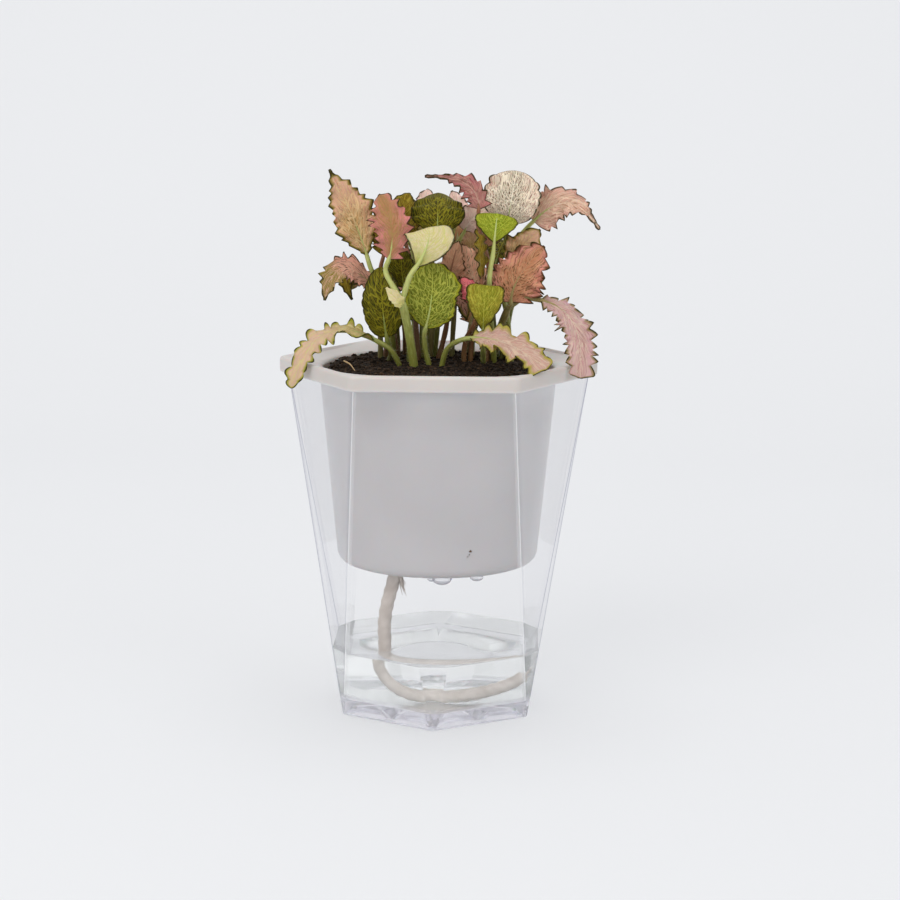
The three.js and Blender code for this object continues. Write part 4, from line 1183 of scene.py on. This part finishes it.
# near the midrib, near the edge, veins, stain; then amount of stain, width of veins, fade
KINDS = {
    "tan": ((188, 148, 92), (212, 154, 130), (220, 188, 140), (104, 84, 22), 1.0, 0.6, 0.4),
    "rosy": ((180, 124, 92), (212, 130, 132), (164, 132, 80), (132, 90, 44), 0.5, 0.55, 0.3),
    "rosy_pale": ((190, 140, 142), (206, 160, 168), (208, 186, 166), (134, 88, 74), 0.6, 0.6, 0.4),
    "salmon": ((186, 124, 90), (216, 142, 130), (200, 150, 112), (90, 58, 28), 1.3, 0.45, 0.4),
    "cream": ((176, 178, 88), (206, 196, 132), (208, 200, 128), (150, 154, 60), 0.2, 0.6, 0.0),
    "green": ((88, 98, 10), (76, 86, 8), (176, 178, 76), (58, 72, 6), 0.5, 0.65, 0.1),
    "lime": ((112, 116, 14), (128, 114, 28), (172, 166, 62), (74, 82, 8), 0.4, 0.6, 0.1),
    "dark": ((54, 48, 2), (42, 42, 2), (136, 128, 28), (26, 30, 2), 0.6, 0.65, 0.2),
    "olive": ((118, 94, 18), (94, 76, 14), (164, 144, 50), (66, 48, 14), 0.6, 0.6, 0.2),
    "spotted": ((208, 150, 130), (204, 142, 124), (214, 168, 144), (66, 42, 22), 1.5, 0.45, 0.3),
    "crimson": ((170, 106, 100), (172, 92, 98), (198, 152, 136), (88, 58, 36), 0.9, 0.55, 0.3),
    "net": ((84, 58, 34), (184, 136, 122), (246, 232, 206), (82, 56, 34), 0.9, 0.62, 0.0),
    "pink": ((204, 158, 138), (196, 144, 132), (226, 198, 170), (128, 90, 58), 0.6, 0.65, 0.3),
    "pink_banded": ((188, 146, 134), (186, 142, 134), (206, 182, 158), (140, 100, 74),
                    0.35, 0.6, 0.3),
    "pink_arch": ((178, 156, 104), (170, 150, 86), (202, 186, 132), (118, 96, 46), 0.4, 0.6, 0.3),
    # a paler copy of pink for leaves in the shade of others: painted light
    "pink_light": ((232, 192, 178), (228, 184, 176), (244, 220, 204), (160, 120, 96),
                   0.5, 0.6, 0.3),
    # a paler copy of spotted for leaves in the shade of others: painted light
    "spotted_light": ((240, 178, 150), (232, 168, 138), (244, 200, 168), (104, 74, 36),
                      1.2, 0.6, 0.3),
    "crimson_hot": ((226, 98, 112), (222, 92, 108), (236, 140, 136), (120, 60, 50), 0.5, 0.6, 0.3),
}
# strains with another's colours, and an underside, a tip or a band of their own; olive_spotted
# takes the paler copy of spotted, painted light
for twin, kind in (("spotted_tipped", "spotted"), ("spotted_low", "spotted"),
                   ("olive_spotted", "spotted_light")):
    KINDS[twin] = KINDS[kind]
EXTRAS = {
    "tan": {"band": OLIVE, "dots": 1.9, "tip": (208, 158, 138), "turn": (0.5, 1.0)},
    "rosy_pale": {"band": (142, 124, 74), "dots": 1.6},
    "salmon": {"dots": 1.5, "band": (106, 62, 40)},
    "cream": {"tip": (216, 200, 162), "turn": (0.25, 0.6)},
    "green": {"band": LIME, "mesh": 8.0},
    "lime": {"mesh": 8.0},
    "spotted": {"dots": 1.5},
    "spotted_tipped": {"dots": 1.5, "tip": (120, 110, 24)},
    "spotted_low": {"band": OLIVE},
    "spotted_light": {"dots": 1.5},
    "olive_spotted": {"dots": 1.5},
    "crimson": {"dots": 1.4},
    "net": {"spread": (0.3, 1.05), "weave": 0.6, "mesh": 11.0, "dots": 1.7},
    "pink_banded": {"band": (160, 152, 46), "deep": 2.8},
    "pink_arch": {"band": LIME, "tip": (208, 166, 152), "turn": (0.35, 0.7)},
}
print("strains:", len(KINDS))

# %% Colours of the undersides
# near the midrib, near the edge, veins; a strain without a row takes its family's
UNDERSIDES = {
    "tan": ((190, 166, 106), (180, 144, 98), (206, 192, 128)),
    "rosy": ((190, 152, 110), (184, 132, 104), (202, 182, 130)),
    "salmon": ((180, 142, 92), (174, 122, 90), (194, 172, 112)),
    "cream": ((160, 166, 80), (202, 192, 128), (198, 192, 116)),
    "green": ((150, 156, 64), (126, 134, 46), (184, 186, 104)),
    "lime": ((108, 122, 12), (134, 142, 26), (176, 184, 64)),
    "dark": ((122, 128, 52), (94, 100, 34), (164, 164, 88)),
    "olive": ((128, 114, 38), (100, 86, 26), (160, 146, 70)),
    "spotted": ((180, 152, 96), (158, 126, 78), (196, 178, 120)),
    "crimson": ((170, 118, 92), (156, 90, 78), (190, 148, 110)),
    "net": ((176, 168, 98), (184, 146, 110), (204, 192, 130)),
    "olive_spotted": ((206, 148, 118), (198, 138, 110), (214, 168, 134)),
    "pink": ((188, 164, 100), (176, 134, 92), (204, 188, 128)),
}
UNDER_STAIN, UNDER_FADE = 0.15, 0.2
FINISH = {}
for kind, (*tints, amount, width, fade) in KINDS.items():
    extras = EXTRAS.get(kind, {})
    pale = [*(UNDERSIDES.get(kind) or UNDERSIDES[kind.split("_")[0]]), tints[-1]]
    FINISH[kind] = [
        leaf_finish(kind + "_leaf", tints, amount, width, fade, **extras),
        leaf_finish(kind + "_underside", pale, UNDER_STAIN, width, UNDER_FADE, back=True, **extras)]
print("leaf finishes:", len(FINISH) * 2)

# %% [markdown]
# ## The leaves
# Each leaf could be turned and scaled from one master blade, but then all would share its waves
# and teeth. Here a row gives one leaf: where its stalk leaves the soil, its half width and form,
# three points of its midrib, where its upper face looks, how far it cups and how much its edge
# waves. The places were read off the photograph through the camera. The leaves at the back are a
# fair guess, set so that the plant is full from all sides.

# %% Leaves on their own stalks
SOIL_DEPTH, SOIL_SKIN, HAIR_COUNT = 119.0, 122.5, 70
# side veins on each half, and how far they lean to the tip
PALM_VEINS, FEATHER_VEINS = (5, 0.85), (7, 0.4)
# a stalk's colours by the first word of its leaf's strain
STALK_OF = {"tan": "light", "rosy": "brown", "salmon": "brown", "cream": "light", "green": "light",
            "lime": "light", "dark": "deep", "olive": "red", "spotted": "brown", "crimson": "red",
            "net": "deep", "pink": "light"}
MADE = []


def leaf(name, kind, root, via, half, form, tooth, base, mid, tip, face, cup, ruffle):
    """Make one leaf with its stalk and hairs as a finer piece in the place of the node."""
    seed = 1 + len(MADE)
    veins = PALM_VEINS if form in (ROUND, FAN) else FEATHER_VEINS
    foot = [(*root, SOIL_DEPTH), (*root, SOIL_SKIN)]
    tube, line, radius = stalk(foot, base, mid, tip, face, [via], STALK_R, seed)
    parts = [blade(base, mid, tip, half, face, cup, ruffle, form, tooth, veins, seed), tube,
             hairs(line, radius, HAIR_COUNT, seed)]
    look = kind.split("_")[0]
    materials = [*FINISH[kind], STALKS[STALK_OF[look]], HAIRS]
    piece = gather(name.replace("leaf_", "fine_"), parts, materials)
    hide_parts(name)
    MADE.append(piece)


# name, strain, place in the soil, a point on the stalk's way, half width, form, size of the teeth;
# then three points of the midrib, where the upper face looks, cup and wave
FRONT_LEAVES = (
    ("leaf_left_tall", "tan", (-16, 9), (-18.5, -3, 147), 6.8, (1.1, 1.4), 1.1,
     (-25, -7, 163), (-30.6, -9, 178.5), (-37.8, -12, 193.4), (-80, 15), 12, 1.17),
    ("leaf_left_shy", "olive", (-12.5, 17), (-13.5, 11.5, 141), 5, OVATE, 1.2,
     (-19.5, -1, 163), (-18.5, -2, 173), (-19, 0, 184), (-80, 10), 10, 0.7),
    ("leaf_left_spotted", "spotted_tipped", (-21, 7), (-21, 3, 141.5), 4.2, OVATE, 1.4,
     (-23, -2.4, 152), (-34, -8, 158.5), (-39.5, -13, 148), (-90, 35), 8, 0.7),
    ("leaf_left_small", "olive", (-20, 9.5), (-18.5, 8.5, 135), 2.4, OVATE, 0.7,
     (-27, 5, 152), (-33, 5, 154), (-31, 4, 146.5), (-90, 30), 5, 0.4),
    ("leaf_front_dark", "dark", (-18, 4), (-16.5, -7, 129.5), 6.8, (0.42, 0.5), 0.5,
     (-17.8, -12, 135.2), (-19.3, -13.5, 147), (-20, -10, 159.5), (-95, 12), -5, 0.6),
    ("leaf_front_broad", "green", (-2.5, -9.5), (-4.5, -12, 132.5), 9.4, (0.58, 0.5), 0.5,
     (-4, -15, 139), (-2, -16, 150), (-2, -11, 161), (-90, 20), 8, 0.6),
    ("leaf_top_dark", "dark", (-4, 0), (-5, -9, 152), 9.4, ROUND, 0.5,
     (-0.4, -9, 171.5), (-0.3, -7, 179.3), (-0.6, 3, 184.6), (-90, 50), -10, 1.1),
    ("leaf_top_olive", "olive", (-7, 0.5), (-8.5, 0.5, 143), 6.2, OVATE, 0.8,
     (-12, 1, 167.5), (-13, 2, 177), (-10.5, 4, 184.5), (-90, 15), 10, 0.7),
    ("leaf_top_curl", "pink_light", (-6.5, 9), (-6, 9, 150.5), 4.2, OVATE, 0.9,
     (-5.5, 9, 174), (-5, 10, 180), (-4.5, 13, 185.5), (-90, 20), 10, 0.6),
    ("leaf_top_crimson", "crimson", (17, 2), (18, -4.5, 157), 3.1, (0.5, 1.5), 1.7,
     (14, -9.6, 180), (9.4, -12.6, 189), (-4.6, -15, 191.4), (-90, 10), 8, 1.1),
    ("leaf_round_net", "net", (22, 8), (27, 3, 158), 9.4, ROUND, 1.2,
     (24, -6, 175), (25.5, -8, 184), (27, -5, 193), (-90, 10), 10, 0.5),
    ("leaf_right_tan", "tan", (26, 3), (24.5, 1, 140), 5, OVATE, 1.2,
     (25, -6, 161), (29.5, -7, 167), (35.5, -9, 173), (-80, 10), 8, 0.9),
    ("leaf_small_bright", "lime", (20, 2), (18, -13.5, 156), 7.4, FAN, 0.4,
     (19.5, -14, 168.5), (20, -13.5, 174), (20.5, -11, 178.5), (90, 10), 6, 0.4),
    ("leaf_edge_on", "olive", (11.3, 2), (12, -1, 135.5), 4.6, OVATE, 0.8,
     (15, -13, 156), (14.5, -15, 166), (13, -15, 173.5), (-20, 0), 10, 0.8),
    ("leaf_right_tail", "pink", (25, 7), (25.2, -1.6, 164), 5.8, (0.4, 1.6), 1.9,
     (33.2, -3, 175.5), (45.5, -9, 182.3), (55.6, -18, 173.8), (-90, 15), 8, 1.56),
    ("leaf_front_green", "lime", (16, -1), (16, -12.5, 131.5), 6.5, FAN, 0.6,
     (16, -18, 138.5), (16.3, -20, 147), (17, -16, 154), (-90, 15), 10, 0.6),
    ("leaf_centre_crimson", "crimson_hot", (9, 0), (9.5, -2, 132), 3.4, OVATE, 0.7,
     (13, -14, 147), (11.5, -14.5, 152), (8, -13.5, 156.5), (-90, 10), 6, 0.4),
    ("leaf_front_pink", "pink_banded", (1.2, -11), (3.5, -14.5, 131.5), 5.4, (0.5, 0.45), 2.3,
     (12.2, -22, 136.3), (25, -29.5, 135.2), (37.6, -40.5, 128), (-75, 50), 6, 1.3),
    ("leaf_left_droop", "pink_arch", (-12.6, -9), (-16.5, -13, 131), 3.6, (0.35, 0.35), 2.1,
     (-22, -14, 134.5), (-39.5, -18, 136.3), (-50, -26, 118.8), (-100, 70), 6, 1.3),
    ("leaf_centre_olive", "olive_spotted", (-0.6, 3.8), (3, 1.5, 139.5), 4, OVATE, 0.7,
     (3.5, -7, 154), (5, -8, 161), (7, -5, 168.5), (90, 10), 8, 0.4),
    ("leaf_centre_spotted", "spotted_light", (11, 10.5), (12, 9, 133), 5.2, OVATE, 0.8,
     (13.5, -1, 150.5), (10.5, -2, 159.5), (8, -1, 167), (-90, 15), 8, 0.6),
    ("leaf_centre_salmon", "tan", (20, 14.5), (16.5, 11.5, 140), 4, OVATE, 0.9,
     (11.5, 8, 160), (11, 8, 166.5), (11, 10, 173), (-90, 15), 8, 0.5),
    ("leaf_top_pale", "pink_light", (20, 21.5), (19, 20, 133), 4.4, OVATE, 1.1,
     (9, 4, 171.5), (12.5, 4, 176.5), (19, 6, 181.5), (-90, 15), 8, 0.6),
    ("leaf_top_blush", "pink_light", (-2, 15), (1.5, 12.5, 156), 4, OVATE, 0.9,
     (5.5, 10, 173), (6, 10, 179), (4, 12, 185), (-90, 20), 8, 0.6),
    ("leaf_mid_dark", "dark", (-10, -5.5), (-10.5, -5.5, 139), 4.6, OVATE, 0.6,
     (-12, -6, 152), (-13, -6, 160), (-12.5, -5, 166), (-90, 10), 8, 0.5),
    ("leaf_low_brown", "spotted_low", (-3.5, 9.5), (-1.5, 7.5, 140), 3.6, OVATE, 0.8,
     (3, 3, 147), (7, -1, 148), (10, -4, 140.5), (-60, 50), 6, 0.5),
)
for row in FRONT_LEAVES:
    leaf(*row)
print("front leaves:", len(MADE))

# %% Leaves on the side away from the camera
BACK_LEAVES = (
    ("leaf_back_01", "green", (-8, 5), (-9, 10.5, 148), 7, OVATE, 1.0,
     (-10, 16, 161), (-12, 23, 169), (-16, 32, 170), (90, 60), 10, 0.7),
    ("leaf_back_02", "rosy", (4.5, 13.5), (4.5, 13.5, 128), 7.6, ROUND, 1.0,
     (6, 18, 164), (6, 26, 173), (6, 37, 171), (90, 60), 10, 0.7),
    ("leaf_back_03", "dark", (21, 11), (19, 10, 146.5), 7, OVATE, 1.0,
     (20, 15, 158), (23, 24, 166), (27, 34, 163), (80, 60), 10, 0.7),
    ("leaf_back_04", "spotted", (-15, 14.5), (-15.5, 13, 137), 6.4, OVATE, 1.0,
     (-17, 17, 147), (-19, 27, 153), (-21, 38, 147), (100, 60), 10, 0.7),
    ("leaf_back_05", "net", (-3, 17.5), (-2.5, 19.5, 138), 7.6, ROUND, 1.0,
     (-2, 24, 150), (-2, 33, 157), (-2, 44, 152), (90, 60), 10, 0.6),
    ("leaf_back_06", "pink", (11.5, 14.5), (12.5, 17.5, 139), 6.4, OVATE, 1.0,
     (14, 22, 147), (17, 31, 153), (20, 41, 147), (85, 60), 10, 0.8),
    ("leaf_back_07", "green", (24, 10), (24.5, 9.5, 137.5), 5.6, OVATE, 1.0,
     (27, 12, 147), (31, 18, 153), (36, 26, 149), (50, 55), 10, 0.6),
    ("leaf_back_08", "green", (-9.5, 25.5), (-9.5, 25, 132.5), 5.6, OVATE, 1.0,
     (-10, 26, 136), (-12, 34, 141), (-14, 44, 135), (95, 60), 8, 0.7),
    ("leaf_back_09", "rosy", (10.5, 25), (10.5, 25, 131.5), 5.4, OVATE, 1.0,
     (11, 27, 136), (13, 35, 140), (16, 45, 134), (85, 60), 8, 0.7),
    ("leaf_back_10", "tan", (-3.5, 12.5), (-4, 12.5, 145), 5.6, OVATE, 1.0,
     (-5, 13, 170), (-6, 16, 177), (-8, 24, 180), (90, 50), 8, 0.6),
    ("leaf_back_11", "crimson", (17, 5), (16.5, 7.5, 148.5), 5.4, OVATE, 1.0,
     (16, 10, 165), (18, 13, 174), (20, 20, 178), (85, 45), 8, 0.7),
    ("leaf_back_12", "olive", (-14.5, 11.5), (-17.5, 10.5, 137), 4.8, OVATE, 1.0,
     (-22, 14, 146), (-28, 20, 151), (-34, 26, 147), (130, 60), 8, 0.6),
)
for row in BACK_LEAVES:
    leaf(*row)
print("all single leaves:", len(MADE))

# %% [markdown]
# ## Forked stems
# Two stems carry two leaves each, and the front one a small bract. A fork could be joined by a
# boolean or by hand. It is simpler to draw the stem as one tube, thinner at its very end, and to
# let each leaf's own stalk start inside it, so that no seam shows.

# %% Forked stems
STEM_ROWS, STEM_SIDES, STEM_HAIRS, TWIG_HAIRS = 40, 12, 60, 30
STEM_TIP = (0.95, 0.85, 0.68, 0.4)
BRACT = {"half": 2.2, "face": (-90, 20), "cup": 24, "ruffle": 0.25, "form": OVATE, "tooth": 0.4,
         "veins": (3, 0.4)}


def stem(root, fork, thick):
    """Parts of a stem: one tube from the soil to just past its fork, where it is drawn in."""
    fork = np.asarray(fork, float)
    foot = np.array([(*root, SOIL_DEPTH), (*root, 123.0)])
    middle = (np.array([*root, 127.5]) + fork) / 2
    line = path_points([*foot, middle, fork, fork + 0.06 * (fork - middle)], STEM_ROWS)[0]
    radius = np.full(STEM_ROWS, thick) * np.linspace(1.05, 0.95, STEM_ROWS)
    radius[-len(STEM_TIP):] *= STEM_TIP
    rings, reach = tube_rings(line, radius, STEM_SIDES)
    around = np.linspace(0, 1, STEM_SIDES, endpoint=False)[None]
    share = np.linspace(0, 1, STEM_ROWS)[:, None]
    points, faces = shell(rings)
    numbers = np.full((STEM_ROWS + 1) * STEM_SIDES, STALK)
    layers = (with_poles(reach[:, None] / 10, around), with_poles(0.65 * share, around, 0.5),
              with_poles(share, around, 1.0))
    return (points, faces, numbers, *layers), line, radius


def sprig(name, root, fork, thick, stem_finish, rows, bract=None):
    """A stem from the soil to its fork, and the two leaves that leave it there. A bract is a small
    pale leaf that clasps the fork, from its own three midrib points."""
    seed = 101 + len(MADE)
    tube, line, radius = stem(root, fork, thick)
    parts = [tube, hairs(line, radius, STEM_HAIRS, seed)]
    first, second = FINISH[rows[0][0]], FINISH[rows[1][0]]
    materials = [*first, STALKS[stem_finish], HAIRS, *second, STALKS[stem_finish]]
    past = HAIR + 1
    start = [np.asarray(fork, float)]
    for k, row in enumerate(rows):
        kind, base, mid, tip, half, face, cup, ruffle, form, via, tooth, veins = row
        twig, line, radius = stalk(start, base, mid, tip, face, via, STALK_R, seed + k)
        grown = [blade(base, mid, tip, half, face, cup, ruffle, form, tooth, veins, seed + k), twig,
                 hairs(line, radius, TWIG_HAIRS, seed + k)]
        if k:
            grown = [(p, b, np.where(n == HAIR, HAIR, n + past), *rest) for p, b, n, *rest in grown]
        parts += grown
    if bract:
        points, faces, numbers, net, place, vein = blade(*bract, **BRACT, seed=seed + 5)
        # counted as far from the edge, so that it gets no dark rim
        parts.append((points, faces, numbers + past, net, place + (0, 0, 3), vein))
    piece = gather(name.replace("sprig", "fine_sprig"), parts, materials)
    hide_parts(name)
    MADE.append(piece)
    return piece


print("leaves before the sprigs:", len(MADE))

# %% The two sprigs
# strain, three points of the midrib, half width, where the face looks, cup, wave, form, points on
# the stalk's way, size of the teeth, veins
FRONT_SPRIG = (
    ("rosy", (-17, -15, 162.5), (-16, -16.5, 174), (-20.5, -14, 185), 5.5, (-90, 10), 6, 0.9,
     (0.75, 0.75), (), 1.8, (7, 0.5)),
    ("cream", (-7.4, -22, 160.5), (-3.5, -20.5, 168), (-3, -17, 174), 8.7, (90, 10), 4, 0.4,
     FAN, (), 0.2, (5, 0.9)),
)
RIGHT_SPRIG = (
    ("salmon", (25.5, -8, 147.5), (28.5, -10.5, 157), (37, -12, 167.5), 8.2, (-85, 15), 8, 1.5,
     OVATE, (), 2.4, (7, 0.5)),
    ("rosy_pale", (35.8, -9, 148.4), (47.5, -15, 140.5), (49.7, -24, 123), 4.0, (-90, 40), 6, 1.8,
     (0.6, 0.35), ((30, -8, 149),), 2.4, (9, 0.4)),
)
BRACT_MIDRIB = ((-11.8, -23, 147.6), (-14.2, -23.8, 150.2), (-17.4, -22.6, 153.6))
sprig("sprig_front", (-8, -12.6), (-12, -22, 149), 1.5, "light", FRONT_SPRIG, BRACT_MIDRIB)
sprig("sprig_right", (18.7, 9), (24.5, -6, 145), 1.4, "brown", RIGHT_SPRIG)
print("pieces of plant:", len(MADE), "faces:", sum(len(p.data.polygons) for p in MADE))

# %% [markdown]
# ## Drops
# The soil is moist, and a few drops hang under the liner's edge. A drop is a ball drawn down by its
# own weight, with a flat patch where it holds on.

# %% Drops under the liner
def drop(size, wide, centre):
    """Ball whose lower half keeps nearly its height and whose upper half is nearly flat, drawn
    wide along the liner's edge."""
    points, faces = ball(16, 9)
    points = points * size
    points[:, 2] = points[:, 2] * np.where(points[:, 2] < 0, 0.95, 0.35)
    return points * (wide, 1, 1) + np.array(centre), faces


def water_drop_finish():
    """Water with a little lime in it, which shows on a drop's rim."""
    f = clear_finish("water_drop", PALE_WATER, 0.0, 1.333, (0.96, 0.96, 0.96, 1), haze=0.2)
    f.bump(f.noise(120.0, 1.0), 0.03, 0.0003)
    return f.material


parts = [drop(2.5, 1.4, (2.6, -31.6, 53.45)), drop(1.3, 1.2, (-1.0, -31.6, 53.45)),
         drop(1.6, 1.5, (14.6, -28.8, 53.45))]
drops = make_piece("hanging_drops", *merged(parts), [water_drop_finish()])
print("drops:", len(parts))

# %% [markdown]
# ## Floor, backdrop and light
# The photograph was taken in a white studio: floor and wall run into one pale sheet, and the light
# comes from everywhere. A sweep does the same here, a floor that curves up behind the plant. One
# large soft lamp high on the left gives the leaves their form, a weaker one on the right opens the
# shade, and the pale surroundings do the rest.

# %% Sweep
def sweep_finish():
    """Matt pale paper, lit a little from behind, with the faintest unevenness."""
    f = Finish("pale_paper", Roughness=0.95, Specular_IOR_Level=0.1, Emission_Strength=0.4)
    f.shader.inputs["Emission Color"].default_value = (0.975, 0.98, 1.0, 1)
    f.colour(f.mix(f.noise(3.0, 2.0), tint(170, 171, 172), tint(173, 174, 175)))
    return f.material


BEND_R, WALL_Y, SUNK, TOP = 400.0, 900.0, -0.4, 1700.0
bend = np.radians(np.linspace(0, 90, 17))
profile = [(-1300.0, SUNK), (-400.0, SUNK), (200.0, SUNK)]
profile += [(WALL_Y - BEND_R + BEND_R * math.sin(a), SUNK + BEND_R - BEND_R * math.cos(a))
            for a in bend]
profile = np.array(profile + [(WALL_Y, TOP)])
across = np.linspace(-1500, 1500, 9)
points = np.stack(np.broadcast_arrays(across[None], profile[:, :1], profile[:, 1:]), -1)
points = points.reshape(-1, 3)
mesh = bpy.data.meshes.new("sweep")
mesh.from_pydata((points * MM).tolist(), [], quads(len(profile), 9, False).tolist())
mesh.materials.append(sweep_finish())
mesh.polygons.foreach_set("use_smooth", np.full(len(mesh.polygons), True))
sweep = bpy.data.objects.new("sweep", mesh)
bpy.context.scene.collection.objects.link(sweep)
print("sweep faces:", len(mesh.polygons))

# %% Lamps and surroundings
def lamp(name, place, aim, size, power, warmth):
    """A large soft lamp at a place, turned to look at an aim point. All in mm and watts."""
    light = bpy.data.lights.new(name, "AREA")
    light.shape, light.size, light.energy, light.color = "SQUARE", size * MM, power, warmth
    made = bpy.data.objects.new(name, light)
    made.location = Vector(place) * MM
    made.rotation_euler = (Vector(aim) * MM - made.location).to_track_quat("-Z", "Y").to_euler()
    bpy.context.scene.collection.objects.link(made)
    return made


LAMP_SIZE = 900
lamp("key_lamp", (-500, -950, 800), (0, 0, 110), LAMP_SIZE, 6.5, (1.0, 0.99, 0.97))
lamp("fill_lamp", (900, -700, 700), (0, 0, 110), LAMP_SIZE, 2.5, (0.98, 0.99, 1.0))
lamp("wash_lamp", (0, 250, 1300), (0, 900, 300), LAMP_SIZE, 3.6, (1.0, 1.0, 1.0))
world = bpy.data.worlds.new("studio")
bpy.context.scene.world = world
world.use_nodes = True
sky = world.node_tree.nodes["Background"].inputs
sky["Color"].default_value, sky["Strength"].default_value = (0.96, 0.97, 1.0, 1), 0.7
bpy.context.scene.view_settings.view_transform = "Standard"
BOUNCES = 24
cycles = bpy.context.scene.cycles
cycles.max_bounces, cycles.transmission_bounces, cycles.transparent_max_bounces = [BOUNCES] * 3
